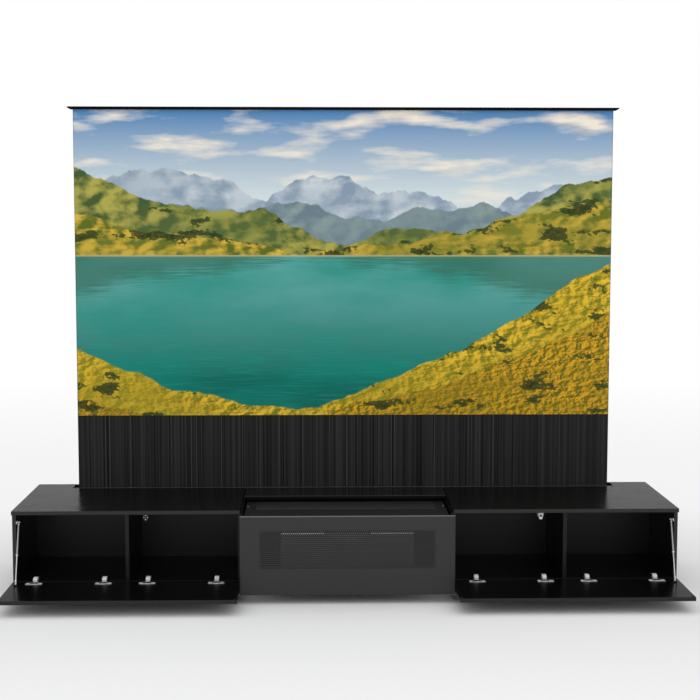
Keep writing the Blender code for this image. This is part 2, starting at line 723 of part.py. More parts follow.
def drawer(carriage):
    """Front with its grille, tray, cover, rack and projector, drawn closed on the carriage."""
    window_half = WINDOW_SIZE[0] / 2
    window_top = WINDOW_BOTTOM + WINDOW_SIZE[1]
    outline = rectangle((-FRONT_HALF_WIDTH, FRONT_FLOOR_GAP), (FRONT_HALF_WIDTH, HEIGHT))
    window = rectangle((-window_half, WINDOW_BOTTOM), (window_half, window_top))
    mesh = outline_mesh("drawer_front", [outline, window], BOARD)
    front = place("drawer_front", mesh, CHARCOAL, carriage, (0.0, BOARD / 2, 0.0), XZ_PLANE)
    round_edges(front, EDGE_ROUND)
    board(
        "drawer_grille",
        (SEAT_GAP - window_half, window_half - SEAT_GAP),
        (GRILLE_RECESS, GRILLE_RECESS + GRILLE_THICKNESS),
        (WINDOW_BOTTOM + SEAT_GAP, window_top - SEAT_GAP),
        BLACK_METAL,
        carriage,
        rounding=0.0,
    )
    length = DRAWER_REAR_END - DRAWER_FRONT_END
    middle = (DRAWER_REAR_END + DRAWER_FRONT_END) / 2
    wall_top = COVER_BOTTOM - SEAT_GAP
    inner = TRAY_HALF - TRAY_BOARD
    section = [
        (-TRAY_HALF, TRAY_BOTTOM),
        (TRAY_HALF, TRAY_BOTTOM),
        (TRAY_HALF, wall_top),
        (inner, wall_top),
        (inner, TRAY_FLOOR),
        (-inner, TRAY_FLOOR),
        (-inner, wall_top),
        (-TRAY_HALF, wall_top),
    ]
    mesh = outline_mesh("drawer_tray", [section], length)
    place("drawer_tray", mesh, BLACK_METAL, carriage, (0.0, middle, 0.0), XZ_PLANE)
    cover_half = BAY_WIDTH / 2 - COVER_SIDE_GAP
    depth = (DRAWER_FRONT_END, DRAWER_REAR_END)
    board("drawer_cover", (-cover_half, cover_half), depth, (COVER_BOTTOM, COVER_TOP), CHARCOAL, carriage)
    projector(carriage)


def projector(carriage):
    """Projector case on the tray: open below, with a dished channel along its top."""
    width, depth, height = PROJECTOR_SIZE
    front = DRAWER_FRONT_END + PROJECTOR_SETBACK
    low = TRAY_FLOOR + SEAT_GAP
    high = low + height
    case = board(
        "projector_shell",
        (-width / 2, width / 2),
        (front, front + depth),
        (low, high),
        GREY_PLASTIC,
        carriage,
        rounding=PROJECTOR_ROUND,
    )
    dish_radius = ((DISH_WIDTH / 2) ** 2 + DISH_DEPTH**2) / (2 * DISH_DEPTH)
    dish = cylinder_mesh("dish", dish_radius, 2 * depth, sides=96)
    middle = front + depth / 2
    tool(case, dish, "DIFFERENCE", (0.0, middle, high - DISH_DEPTH + dish_radius), ALONG_Y)
    hollow_height = height - PROJECTOR_ROOF
    hollow = (width - 2 * PROJECTOR_WALL, depth - 2 * PROJECTOR_WALL, 2 * hollow_height)
    tool(case, box_mesh("hollow", hollow), "DIFFERENCE", (0.0, middle, low))


def tooth_half_width(height):
    """Half the width of a tooth at a height above its pitch line."""
    return TOOTH_SHARE * TOOTH_PITCH / 2 - height * math.tan(PRESSURE_ANGLE)


def rack_drive(frame, carriage):
    """Rack under the tray, the pinion that moves it, and the gear motor that carries the pinion."""
    tip = ADDENDUM * MODULE
    root = DEDENDUM * MODULE
    pitch_line = RACK_TOP - RACK_BACK
    start = PINION_DEPTH + DRAWER_TRAVEL - RACK_FRONT_TEETH * TOOTH_PITCH
    end = start + RACK_TEETH * TOOTH_PITCH
    outline = [(end, RACK_TOP), (start, RACK_TOP), (start, pitch_line + root)]
    for number in range(RACK_TEETH):
        centre = start + (number + 0.5) * TOOTH_PITCH
        wide = tooth_half_width(-root)
        narrow = tooth_half_width(tip)
        outline += [
            (centre - wide, pitch_line + root),
            (centre - narrow, pitch_line - tip),
            (centre + narrow, pitch_line - tip),
            (centre + wide, pitch_line + root),
        ]
    outline.append((end, pitch_line + root))
    mesh = outline_mesh("drawer_rack", [outline], RACK_WIDTH)
    place("drawer_rack", mesh, ZINC, carriage, (0.0, 0.0, 0.0), YZ_PLANE)

    outline = []
    for number in range(PINION_TEETH):
        middle = math.pi / 2 + math.tau * number / PINION_TEETH
        for height, sign in ((-root, -1), (tip, -1), (tip, 1), (-root, 1)):
            radius = PINION_RADIUS + height
            angle = middle + sign * tooth_half_width(height) / radius
            outline.append((radius * math.cos(angle), radius * math.sin(angle)))
    bore = ring((0.0, 0.0), SHAFT_RADIUS + SEAT_GAP)
    mesh = outline_mesh("drive_pinion", [outline, bore], RACK_WIDTH)
    centre = (0.0, PINION_DEPTH, PINION_HEIGHT)
    place("drive_pinion", mesh, ZINC, frame, centre, YZ_PLANE)

    plate_start = RACK_WIDTH / 2 + SEAT_GAP
    plate = (plate_start, plate_start + MOTOR_PLATE)
    motor = board(
        "drawer_motor",
        plate,
        (PINION_DEPTH - MOTOR_PLATE_HALF, PINION_DEPTH + MOTOR_PLATE_HALF),
        (INNER_FLOOR + SEAT_GAP, PINION_HEIGHT + MOTOR_RADIUS),
        BLACK_METAL,
        frame,
        rounding=0.0,
    )
    overlap = MOTOR_PLATE / 2
    centre = (PINION_DEPTH, PINION_HEIGHT)
    add_pin(motor, centre, MOTOR_RADIUS, (plate[1] - overlap, plate[1] + MOTOR_LENGTH), ALONG_X)
    add_pin(motor, centre, SHAFT_RADIUS, (-plate_start, plate[0] + overlap), ALONG_X)


def control_box(frame):
    """Case of the drive electronics on the floor of the bay."""
    width, depth, height = CONTROL_SIZE
    rear = WELL_FRONT - CONTROL_FROM_WELL
    low = INNER_FLOOR + SEAT_GAP
    span = (CONTROL_X - width / 2, CONTROL_X + width / 2)
    board("control_box", span, (rear - depth, rear), (low, low + height), BLACK_PLASTIC, frame)


def screen(frame):
    """Sheet, roller with its motor and brackets."""
    depth = (SHEET_FRONT, SHEET_FRONT + SHEET_THICKNESS)
    span = (-SHEET_HALF, SHEET_HALF)
    board("screen_sheet", span, depth, (ROLLER_HEIGHT, SHEET_TOP), SCREEN_FABRIC, frame, rounding=0.0)

    rings = [ring((0.0, 0.0), ROLLER_RADIUS, 32), ring((0.0, 0.0), ROLLER_BORE, 32)]
    mesh = outline_mesh("screen_roller", rings, 2 * ROLLER_HALF)
    axis = (0.0, ROLLER_Y, ROLLER_HEIGHT)
    place("screen_roller", mesh, ALUMINIUM, frame, axis, YZ_PLANE)

    plate_near = ROLLER_HALF + ROLLER_BRACKET_GAP
    plate_far = plate_near + ROLLER_BRACKET
    depth = (ROLLER_Y - ROLLER_BRACKET_HALF, ROLLER_Y + ROLLER_BRACKET_HALF)
    height = (INNER_FLOOR + SEAT_GAP, ROLLER_HEIGHT + ROLLER_BRACKET_HALF)
    brackets = {}
    for word, side in SIDES.items():
        name = f"{word}_roller_bracket"
        span = outward(side, plate_near, plate_far)
        brackets[word] = board(name, span, depth, height, DARK_STEEL, frame, rounding=0.0)
    crown = ROLLER_BORE - SEAT_GAP
    stub = (-plate_near - ROLLER_BRACKET / 2, -plate_near + ROLLER_BRACKET_GAP + ROLLER_STUB)
    add_pin(brackets["left"], (ROLLER_Y, ROLLER_HEIGHT), crown, stub, ALONG_X)

    head = ROLLER_BRACKET_GAP + ROLLER_STUB
    profile = [
        (0.0, 0.0),
        (crown, 0.0),
        (crown, -head),
        (ROLLER_MOTOR_RADIUS, -head),
        (ROLLER_MOTOR_RADIUS, -ROLLER_MOTOR_LENGTH),
        (0.0, -ROLLER_MOTOR_LENGTH),
    ]
    end = (plate_near - SEAT_GAP, ROLLER_Y, ROLLER_HEIGHT)
    motor = place("roller_motor", turned_mesh("motor", profile), BLACK_METAL, frame, end, ALONG_X)
    turn(motor)


def lift(frame):
    """Brackets, folding arms and top bar that raise the screen."""
    lower_centre = LOWER_LAYER + ARM_THICKNESS / 2
    upper_centre = UPPER_LAYER + ARM_THICKNESS / 2
    upper_end = UPPER_LAYER + ARM_THICKNESS
    across = ARM_LENGTH * math.cos(ARM_RAISED_ANGLE)
    rise = ARM_LENGTH * math.sin(ARM_RAISED_ANGLE)
    bore = PIN_RADIUS + SEAT_GAP
    outline = bar_outline(ARM_LENGTH, ARM_WIDTH)
    for word, side in SIDES.items():
        foot = side * PIVOT_HALF_SPREAD
        bracket = board(
            f"{word}_lift_bracket",
            (foot - LIFT_BRACKET_WIDTH / 2, foot + LIFT_BRACKET_WIDTH / 2),
            (UPPER_LAYER, upper_end),
            (INNER_FLOOR + SEAT_GAP, LOWER_PIVOT_HEIGHT + ARM_WIDTH / 2),
            DARK_STEEL,
            frame,
            rounding=0.0,
        )
        pin = (LOWER_LAYER - PIN_TAIL, upper_centre)
        add_pin(bracket, (foot, LOWER_PIVOT_HEIGHT), PIN_RADIUS, pin)

        inward_turn = -ARM_RAISED_ANGLE
        outward_turn = math.pi + ARM_RAISED_ANGLE
        lower_turn = inward_turn if side > 0 else outward_turn
        upper_turn = outward_turn if side > 0 else inward_turn
        pivot = empty(
            f"{word}_lower_pivot", (foot, lower_centre, LOWER_PIVOT_HEIGHT), frame, (0.0, lower_turn, 0.0)
        )
        name = f"{word}_lower_arm"
        mesh = outline_mesh(name, [outline, ring((0.0, 0.0), bore)], ARM_THICKNESS)
        lower = place(name, mesh, ALUMINIUM, pivot, (0.0, 0.0, 0.0), XZ_PLANE)
        add_pin(lower, (ARM_LENGTH, 0.0), PIN_RADIUS, (0.0, upper_end + PIN_TAIL - lower_centre))

        elbow = (foot + side * across, upper_centre, LOWER_PIVOT_HEIGHT + rise)
        pivot = empty(f"{word}_elbow", elbow, frame, (0.0, upper_turn, 0.0))
        name = f"{word}_upper_arm"
        holes = [ring((0.0, 0.0), bore), ring((ARM_LENGTH, 0.0), bore)]
        mesh = outline_mesh(name, [outline, *holes], ARM_THICKNESS)
        place(name, mesh, ALUMINIUM, pivot, (0.0, 0.0, 0.0), XZ_PLANE)
    top_bar(frame, upper_end)


def top_bar(frame, upper_end):
    """Flat bar that carries the sheet and closes the slot, with slanted ends and two lugs for the arms."""
    pivot = empty("bar_pivot", (-PIVOT_HALF_SPREAD, 0.0, UPPER_PIVOT_HEIGHT), frame)
    front = SLOT_FRONT + BAR_FRONT_GAP
    plate_bottom = UPPER_PIVOT_DROP - BAR_PLATE
    batten_bottom = plate_bottom - BAR_BATTEN[1]
    section = [
        (front, batten_bottom),
        (front + BAR_BATTEN[0], batten_bottom),
        (front + BAR_BATTEN[0], plate_bottom),
        (REAR_INNER - BAR_REAR_GAP, plate_bottom),
        (REAR_INNER - BAR_REAR_GAP, UPPER_PIVOT_DROP),
        (front, UPPER_PIVOT_DROP),
    ]
    mesh = outline_mesh("screen_bar", [section], 2 * BAR_HALF)
    bar = place("screen_bar", mesh, BLACK_METAL, pivot, (PIVOT_HALF_SPREAD, 0.0, 0.0), YZ_PLANE)
    cut_length, cut_rise = BAR_END_CUT
    lug_depth = (LOWER_LAYER + SEAT_GAP, LOWER_LAYER + ARM_THICKNESS)
    for side in SIDES.values():
        end = side * BAR_HALF
        slant = [
            (end - 2 * side * cut_length, batten_bottom - cut_rise),
            (end + side * cut_length, batten_bottom - cut_rise),
            (end + side * cut_length, batten_bottom + 2 * cut_rise),
        ]
        wedge = outline_mesh("bar_end_cut", [slant], 2 * BAR_BATTEN[0])
        tool(bar, wedge, "DIFFERENCE", (PIVOT_HALF_SPREAD, front + BAR_BATTEN[0] / 2, 0.0), XZ_PLANE)
        middle = PIVOT_HALF_SPREAD + side * PIVOT_HALF_SPREAD
        span = (middle - LUG_WIDTH / 2, middle + LUG_WIDTH / 2)
        add_block(bar, span, lug_depth, (-LUG_BELOW_PIVOT, UPPER_PIVOT_DROP - BAR_PLATE / 2))
        pin = (lug_depth[1] - ARM_THICKNESS / 2, upper_end + PIN_TAIL)
        add_pin(bar, (middle, 0.0), PIN_RADIUS, pin)


def build():
    """Put the whole cabinet together on a frame at its closed fronts."""
    frame = empty("cabinet_frame", (0.0, Y_FRONT, 0.0))
    carriage = empty("drawer_carriage", (0.0, -DRAWER_TRAVEL, 0.0), frame)
    carcass(frame)
    back_boards(frame)
    for word, side in SIDES.items():
        hinge_arms(frame, word, side)
        flap(frame, word, side)
        stay(frame, word, side)
        latch(frame, word, side)
        slides(frame, carriage, word, side)
    drawer(carriage)
    rack_drive(frame, carriage)
    control_box(frame)
    screen(frame)
    lift(frame)
    bpy.context.view_layer.update()


clear_scene()
parts = new_collection(OBJECT_NAME)
cutters = new_collection("cutters")
build()
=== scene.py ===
"""Dressed motorized projector cabinet: flaps open, drawer out, screen raised.

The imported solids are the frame. Each class below dresses one sub-assembly: it gives the solids
their finishes and adds the fittings, fabric and trim that the solids leave out. Sizes are in metres.
"""

import logging
import math
from dataclasses import dataclass
from enum import Enum
from typing import Iterable, Iterator, Sequence, Union

import bmesh
import bpy
from mathutils import Matrix, Vector


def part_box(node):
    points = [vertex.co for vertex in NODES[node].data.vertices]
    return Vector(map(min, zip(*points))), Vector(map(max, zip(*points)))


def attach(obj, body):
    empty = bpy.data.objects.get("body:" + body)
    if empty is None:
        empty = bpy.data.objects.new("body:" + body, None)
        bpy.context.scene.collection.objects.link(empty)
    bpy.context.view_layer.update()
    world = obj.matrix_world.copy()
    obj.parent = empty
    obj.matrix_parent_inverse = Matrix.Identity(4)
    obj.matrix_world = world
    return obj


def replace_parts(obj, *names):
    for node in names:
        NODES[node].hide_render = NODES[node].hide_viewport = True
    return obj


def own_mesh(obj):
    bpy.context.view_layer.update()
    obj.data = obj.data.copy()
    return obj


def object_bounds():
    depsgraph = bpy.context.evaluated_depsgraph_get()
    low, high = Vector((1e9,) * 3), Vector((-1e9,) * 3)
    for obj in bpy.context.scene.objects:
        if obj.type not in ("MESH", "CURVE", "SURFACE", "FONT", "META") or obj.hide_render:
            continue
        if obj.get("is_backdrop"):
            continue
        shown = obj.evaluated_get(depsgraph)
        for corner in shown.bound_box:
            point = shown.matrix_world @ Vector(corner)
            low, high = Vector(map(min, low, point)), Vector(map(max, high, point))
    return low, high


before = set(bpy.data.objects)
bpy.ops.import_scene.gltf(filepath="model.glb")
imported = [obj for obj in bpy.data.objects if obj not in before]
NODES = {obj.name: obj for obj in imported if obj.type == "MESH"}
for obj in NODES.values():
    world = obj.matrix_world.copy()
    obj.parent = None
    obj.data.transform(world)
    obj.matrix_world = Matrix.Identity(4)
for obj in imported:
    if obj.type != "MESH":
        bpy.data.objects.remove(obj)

LOG = logging.getLogger("projector_cabinet")
CAD_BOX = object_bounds()

Point = Sequence[float]
Pair = tuple[float, float]
Triple = tuple[float, float, float]
Profile = tuple[Pair, ...]
Shape = bmesh.types.BMesh
Socket = bpy.types.NodeSocket
Feed = Union[Socket, float, Point]

CABINET = "cabinet"
DRAWER = "drawer"
SCREEN_BAR = "screen_bar"
SIGNS = (-1, 1)
ORIGIN = (0.0, 0.0, 0.0)
ONES = (1.0, 1.0, 1.0)
UNIT = (0.0, 1.0)
SHARP_ANGLE = math.radians(35)
# Most values of a noise lie between these.
MOST = (0.3, 0.7)
# How far a fitting is sunk into what it sits on.
SKIN = 0.0002
# The smallest length that counts.
TINY = 1e-6


class Side(Enum):
    """The two mirrored halves of the cabinet, with the sign of their X."""

    LEFT = -1
    RIGHT = 1

    def part(self, rest: str) -> str:
        """Name of a solid, body or piece of this side."""
        return f"{self.name.lower()}_{rest}"


class Axis(Enum):
    """Directions that turned and flat pieces face along."""

    X = (1.0, 0.0, 0.0)
    Y = (0.0, 1.0, 0.0)
    Z = (0.0, 0.0, 1.0)
    FRONT = (0.0, -1.0, 0.0)


class Brush(Enum):
    """Direction of the grain on metal, as the scale of its noise along X, Y and Z."""

    ROUND = (420.0, 420.0, 420.0)
    ALONG_X = (3.0, 700.0, 700.0)
    ALONG_Y = (700.0, 3.0, 700.0)
    ALONG_Z = (700.0, 700.0, 3.0)


class Arris(Enum):
    """Radii of the rounded edges of blocks and prisms."""

    CRISP = 0.0002
    PRESSED = 0.0004
    FINE = 0.0006
    POLISHED = 0.0007
    SOFT = 0.0008
    MOULDED = 0.001
    CAST = 0.0012
    PADDED = 0.0018


class Facets(Enum):
    """Steps round a turned piece."""

    HEXAGON = 6
    SCREW = 16
    DOT = 20
    TUBE = 28
    WASHER = 32
    CUP = 40


class Fabric(Enum):
    """Places of the screen sheet's finishes among its materials."""

    PICTURE = 0
    SKIRT = 1
    BACK = 2


class Paint(Enum):
    """Colours of the lake picture, as display levels from 0 to 255."""

    LOW_SKY = (214, 226, 228)
    HIGH_SKY = (74, 132, 186)
    CLOUD = (250, 240, 222)
    CLOUD_SHADOW = (150, 150, 156)
    HAZE = (196, 212, 220)
    LEAF = (58, 74, 26)
    LEAF_SHADOW = (22, 36, 16)
    FAR_WATER = (104, 180, 176)
    NEAR_WATER = (0, 108, 96)
    SHOAL = (0, 140, 124)
    RIPPLE = (40, 168, 154)
    MIRRORED_HILL = (52, 92, 62)
    SHORE_FOAM = (226, 200, 140)
    HEM = (30, 34, 30)

    @property
    def linear(self) -> Triple:
        """The colour as linear values from 0 to 1."""
        return screen_colour(*self.value)


def screen_colour(red: float, green: float, blue: float) -> Triple:
    """Linear colour, from 0 to 1, of a display colour with levels from 0 to 255."""
    levels = (red / 255, green / 255, blue / 255)
    return tuple(v / 12.92 if v <= 0.04045 else ((v + 0.055) / 1.055) ** 2.4 for v in levels)


def shade_of(colour: Triple, share: float) -> Triple:
    """The colour with each of its values times share."""
    return tuple(min(1.0, value * share) for value in colour)


class Graph:
    """Node tree of a material or world, with short calls for the nodes that they share."""

    def __init__(self, owner: bpy.types.Material | bpy.types.World) -> None:
        """Starts an empty node tree.

        Args:
            owner: The new material or world.
        """
        owner.use_nodes = True
        self.owner = owner
        self.tree = owner.node_tree
        self.tree.nodes.clear()

    def feed(self, socket: Socket, value: Feed) -> None:
        """Links a socket to another one, or sets its constant.

        Args:
            socket: The input.
            value: An output socket, a number, or a colour or vector.
        """
        if isinstance(value, Socket):
            self.tree.links.new(value, socket)
        elif socket.type == "RGBA" and len(value) == 3:
            socket.default_value = (*value, 1.0)
        else:
            socket.default_value = value

    def add(self, kind: str, inputs: dict[str | int, Feed], **settings: object) -> bpy.types.Node:
        """Adds a shader node.

        Args:
            kind: Node type, after the word that all of them begin with.
            inputs: Values or sockets by the input's name or number.
            settings: Attributes of the node.

        Returns:
            The node.
        """
        node = self.tree.nodes.new(f"ShaderNode{kind}")
        for key, value in settings.items():
            setattr(node, key, value)
        for key, value in inputs.items():
            self.feed(node.inputs[key], value)
        return node

    def place(self, scale: Point = ONES, source: str = "Object", shift: Point = ORIGIN) -> Socket:
        """Coordinates of the surface.

        Args:
            scale: Scale along each axis.
            source: Object, or UV where a pattern follows the surface.
            shift: Added after scaling.

        Returns:
            The scaled vector.
        """
        where = self.add("TexCoord", {}).outputs[source]
        inputs = {"Vector": where, "Scale": scale, "Location": shift}
        return self.add("Mapping", inputs).outputs["Vector"]

    def parts(self, vector: Feed) -> tuple[Socket, Socket, Socket]:
        """The three values of a vector."""
        return tuple(self.add("SeparateXYZ", {"Vector": vector}).outputs)

    def noise(self, vector: Feed, scale: float, detail: float = 3.0) -> Socket:
        """Cloudy noise from 0 to 1, mostly near 0.5; detail is the number of its finer layers."""
        inputs = {"Vector": vector, "Scale": scale, "Detail": detail}
        return self.add("TexNoise", inputs).outputs["Fac"]

    def sheet_noise(self, scale: Point, detail: float, shift: Point = ORIGIN) -> Socket:
        """Cloudy noise on the piece's own UV map, with a scale across and up it."""
        return self.noise(self.place(scale, "UV", shift), 1.0, detail)

    def cells(self, vector: Feed, scale: float) -> Socket:
        """Distance to the nearest of many scattered points; scale is their number in a unit."""
        return self.add("TexVoronoi", {"Vector": vector, "Scale": scale}).outputs["Distance"]

    def span(self, value: Feed, source: Point = MOST, target: Point = UNIT) -> Socket:
        """Maps one range of values onto another, and clamps it."""
        ends = zip(("From Min", "From Max", "To Min", "To Max"), (*source, *target))
        return self.add("MapRange", {"Value": value, **dict(ends)}).outputs["Result"]

    def spread(self, noise: Feed, middle: float, less: float, more: float) -> Socket:
        """Spreads a noise from a little less than a middle value to a little more."""
        return self.span(noise, MOST, (middle - less, middle + more))

    def calc(self, operation: str, first: Feed, second: Feed = 0.0) -> Socket:
        """Arithmetic on one or two values."""
        return self.add("Math", {0: first, 1: second}, operation=operation).outputs[0]

    def apart(self, value: Feed, middle: float) -> Socket:
        """How far a value lies from a middle one."""
        return self.calc("ABSOLUTE", self.calc("SUBTRACT", value, middle))

    def weigh(self, first: Feed, share: float, second: Feed, other: float) -> Socket:
        """Sum of two values, each times its own share."""
        products = [self.calc("MULTIPLY", *pair) for pair in ((first, share), (second, other))]
        return self.calc("ADD", *products)

    def mix(self, share: Feed, first: Feed, second: Feed) -> Socket:
        """Mix of two colours, the first at a share of 0 and the second at 1."""
        # Inputs 6 and 7 and output 2 are the node's colour sockets.
        return self.add("Mix", {0: share, 6: first, 7: second}, data_type="RGBA").outputs[2]

    def shades(self, share: Feed, colour: Triple, dark: float, pale: float) -> Socket:
        """Mix of a darker and a paler shade of one colour."""
        return self.mix(share, shade_of(colour, dark), shade_of(colour, pale))

    def bump(self, height: Feed, distance: float, strength: float) -> Socket:
        """Normal of a relief: its height from 0 to 1, its depth, and how much of it shows."""
        inputs = {"Height": height, "Distance": distance, "Strength": strength}
        return self.add("Bump", inputs).outputs["Normal"]

    def surface(self, tone: Feed, rough: Feed, inputs: dict[str, Feed]) -> None:
        """Ends the tree in a Principled shader of this colour, roughness and further inputs."""
        shader = self.add("BsdfPrincipled", {"Base Color": tone, "Roughness": rough, **inputs})
        self.add("OutputMaterial", {"Surface": shader.outputs[0]})


@dataclass(frozen=True)
class Finish:
    """A surface finish.

    Attributes:
        name: Name of its material.
        slot: The record's material slot; not used.
        tone: Linear base colour.
        roughness: Middle roughness.
    """

    name: str
    slot: str
    tone: Triple
    roughness: float

    def shade(self, graph: Graph) -> None:
        """Draws the finish's node tree in an empty graph."""
        raise NotImplementedError

    def material(self) -> bpy.types.Material:
        """Makes the material when it is first asked for.

        Returns:
            The material.
        """
        if self.name not in bpy.data.materials:
            self.shade(Graph(bpy.data.materials.new(self.name)))
        return bpy.data.materials[self.name]


@dataclass(frozen=True)
class Lacquer(Finish):
    """Satin lacquer on board: faint clouding, fine orange peel and rubbed patches.

    Attributes:
        specular: Level of its highlights.
        clouds, flecks, rubs, peel: Scales of its clouds, flecks, rubbed patches and orange peel.
        peel_depth: Depth of the orange peel.
    """

    specular: float = 0.5
    clouds: float = 3.1
    flecks: float = 310.0
    rubs: float = 9.0
    peel: float = 520.0
    peel_depth: float = 0.00025

    def shade(self, graph: Graph) -> None:
        """Draws the lacquer.

        Args:
            graph: The empty tree.
        """
        place = graph.place()
        tone = graph.shades(graph.span(graph.noise(place, self.clouds, 4.0)), self.tone, 0.86, 1.14)
        fleck = graph.span(graph.noise(place, self.flecks, 2.0), (0.35, 0.65))
        tone = graph.mix(graph.calc("MULTIPLY", fleck, 0.3), tone, shade_of(self.tone, 1.5))
        rough = graph.spread(graph.noise(place, self.rubs, 5.0), self.roughness, 0.015, 0.02)
        peel = graph.bump(graph.noise(place, self.peel, 2.0), self.peel_depth, 0.10)
        graph.surface(tone, rough, {"Specular IOR Level": self.specular, "Normal": peel})


@dataclass(frozen=True)
class Metal(Finish):
    """Plated, brushed or anodised metal.

    Attributes:
        brush: Direction of its grain.
        metallic: 1 for bare or plated metal, less where it is coloured.
        stains: Scale of its stains.
        grain_depth: Depth of its grain.
    """

    brush: Brush = Brush.ROUND
    metallic: float = 1.0
    stains: float = 24.0
    grain_depth: float = 0.00004

    def shade(self, graph: Graph) -> None:
        """Draws the metal.

        Args:
            graph: The empty tree.
        """
        grain = graph.noise(graph.place(self.brush.value), 1.0)
        stain = graph.span(graph.noise(graph.place(), self.stains, 4.0), (0.45, 0.75), (0.0, 0.35))
        tone = graph.shades(graph.span(grain), self.tone, 0.84, 1.08)
        tone = graph.mix(stain, tone, shade_of(self.tone, 0.72))
        rough = graph.spread(grain, self.roughness, 0.06, 0.08)
        relief = graph.bump(grain, self.grain_depth, 0.5)
        graph.surface(tone, rough, {"Metallic": self.metallic, "Normal": relief})


@dataclass(frozen=True)
class Coat(Finish):
    """Powder coat or moulded grain: a fine even pebble over a clouded colour.

    Attributes:
        pebble: Number of pebbles in a metre.
        depth: Depth of the pebbles.
        clouds: Scale of the clouding.
    """

    pebble: float = 900.0
    depth: float = 0.00012
    clouds: float = 12.0

    def shade(self, graph: Graph) -> None:
        """Draws the grain.

        Args:
            graph: The empty tree.
        """
        place = graph.place()
        pebble = graph.cells(place, self.pebble)
        cloud = graph.noise(place, self.clouds, 4.0)
        tone = graph.shades(graph.span(cloud), self.tone, 0.88, 1.12)
        tone = graph.mix(graph.span(pebble, (0.2, 0.8), (0.0, 0.45)), tone, shade_of(self.tone, 0.6))
        rough = graph.spread(cloud, self.roughness, 0.04, 0.06)
        graph.surface(tone, rough, {"Normal": graph.bump(pebble, self.depth, 0.6)})


@dataclass(frozen=True)
class DarkGlass(Finish):
    """Polished dark glass with faint wiping marks.

    Attributes:
        wipes: Scale of the wiping marks.
        dust: Number of dust specks in a metre.
        specular: Level of its highlights.
        index: Its index of refraction.
    """

    wipes: float = 7.0
    dust: float = 160.0
    specular: float = 0.6
    index: float = 1.52

    def shade(self, graph: Graph) -> None:
        """Draws the glass.

        Args:
            graph: The empty tree.
        """
        wiped = graph.noise(graph.place((1.0, 2.5, 1.0)), self.wipes, 6.0)
        dust = graph.span(graph.cells(graph.place(), self.dust), (0.0, 0.07), (1.0, 0.0))
        tone = graph.mix(graph.calc("MULTIPLY", dust, 0.25), self.tone, shade_of(self.tone, 4.0))
        rough = graph.span(wiped, (0.4, 0.75), (self.roughness, self.roughness + 0.12))
        graph.surface(tone, rough, {"Specular IOR Level": self.specular, "IOR": self.index})


@dataclass(frozen=True)
class Skirt(Finish):
    """Black lower fabric of the screen, with fine uneven upright streaks of painted shade and sheen from
    its folds.

    Attributes:
        fine, broad, threads: Scales of its painted fold streaks and of its single threads, across and
            up.
        weave: Threads in the sheet's width.
        specular: Level of its highlights.
        relief: Depth of the streaks.
    """

    fine: Triple = (190.0, 0.2, 1.0)
    broad: Triple = (46.0, 0.1, 1.0)
    threads: Triple = (300.0, 0.2, 1.0)
    weave: float = 2600.0
    specular: float = 0.08
    relief: float = 0.0006

    def shade(self, graph: Graph) -> None:
        """Draws the streaked fabric.

        Args:
            graph: The empty tree.
        """
        fine = graph.sheet_noise(self.fine, 4.0)
        broad = graph.sheet_noise(self.broad, 3.0)
        # The streaks are painted shade and sheen of the fabric's folds; they also drive its relief.
        fold_shade_and_relief = graph.span(graph.weigh(fine, 0.7, broad, 0.5), (0.46, 0.74))
        tone = graph.shades(fold_shade_and_relief, self.tone, 0.25, 2.0)
        thread = graph.sheet_noise(self.threads, 2.0, (40.0, 0.0, 0.0))
        tone = graph.mix(graph.span(thread, (0.58, 0.68), (0.0, 0.9)), tone, shade_of(self.tone, 5.0))
        tone = graph.mix(graph.span(thread, (0.34, 0.42), (0.95, 0.0)), tone, shade_of(self.tone, 0.05))
        weave = graph.cells(graph.place((self.weave, self.weave, 1.0), "UV"), 1.0)
        normal = graph.bump(graph.weigh(fold_shade_and_relief, 1.0, weave, 0.1), self.relief, 0.7)
        graph.surface(tone, self.roughness, {"Specular IOR Level": self.specular, "Normal": normal})


@dataclass(frozen=True)
class Backing(Finish):
    """Coated back of the screen fabric, with its weave showing through.

    Attributes:
        threads: Scale of the threads across and along the sheet.
        specular: Level of its highlights.
        relief: Depth of the weave.
    """

    threads: Pair = (160.0, 110.0)
    specular: float = 0.25
    relief: float = 0.00015

    def shade(self, graph: Graph) -> None:
        """Draws the backing.

        Args:
            graph: The empty tree.
        """
        place = graph.place(ONES, "UV")
        waves = [
            graph.add("TexWave", {"Vector": place, "Scale": scale}, bands_direction=way).outputs["Fac"]
            for way, scale in zip("XY", self.threads)
        ]
        cloud = graph.sheet_noise((5.0, 3.0, 1.0), 5.0)
        tone = graph.shades(cloud, self.tone, 0.75, 1.25)
        rough = graph.spread(cloud, self.roughness, 0.05, 0.05)
        weave = graph.bump(graph.calc("ADD", *waves), self.relief, 0.4)
        graph.surface(tone, rough, {"Specular IOR Level": self.specular, "Normal": weave})


@dataclass(frozen=True)
class Layer:
    """One layer of land in the picture, from its skyline down.

    Attributes:
        height: Height of the skyline where it is lowest, 0 to 1.
        bank: How much it climbs towards the edges of the picture.
        middle: Where across the picture it is lowest.
        rise: How much it rolls.
        waves: Crests across the picture.
        shift: Where in the noise it is read.
        lit, shaded: Display colours of its slopes.
        folds: Number of slopes across and up.
        woods: Share of the slopes under trees.
        haze: How much it fades into the air.
    """

    height: float
    bank: float
    middle: float
    rise: float
    waves: float
    shift: float
    lit: Triple
    shaded: Triple
    folds: Pair
    woods: float = 0.0
    haze: float = 0.0


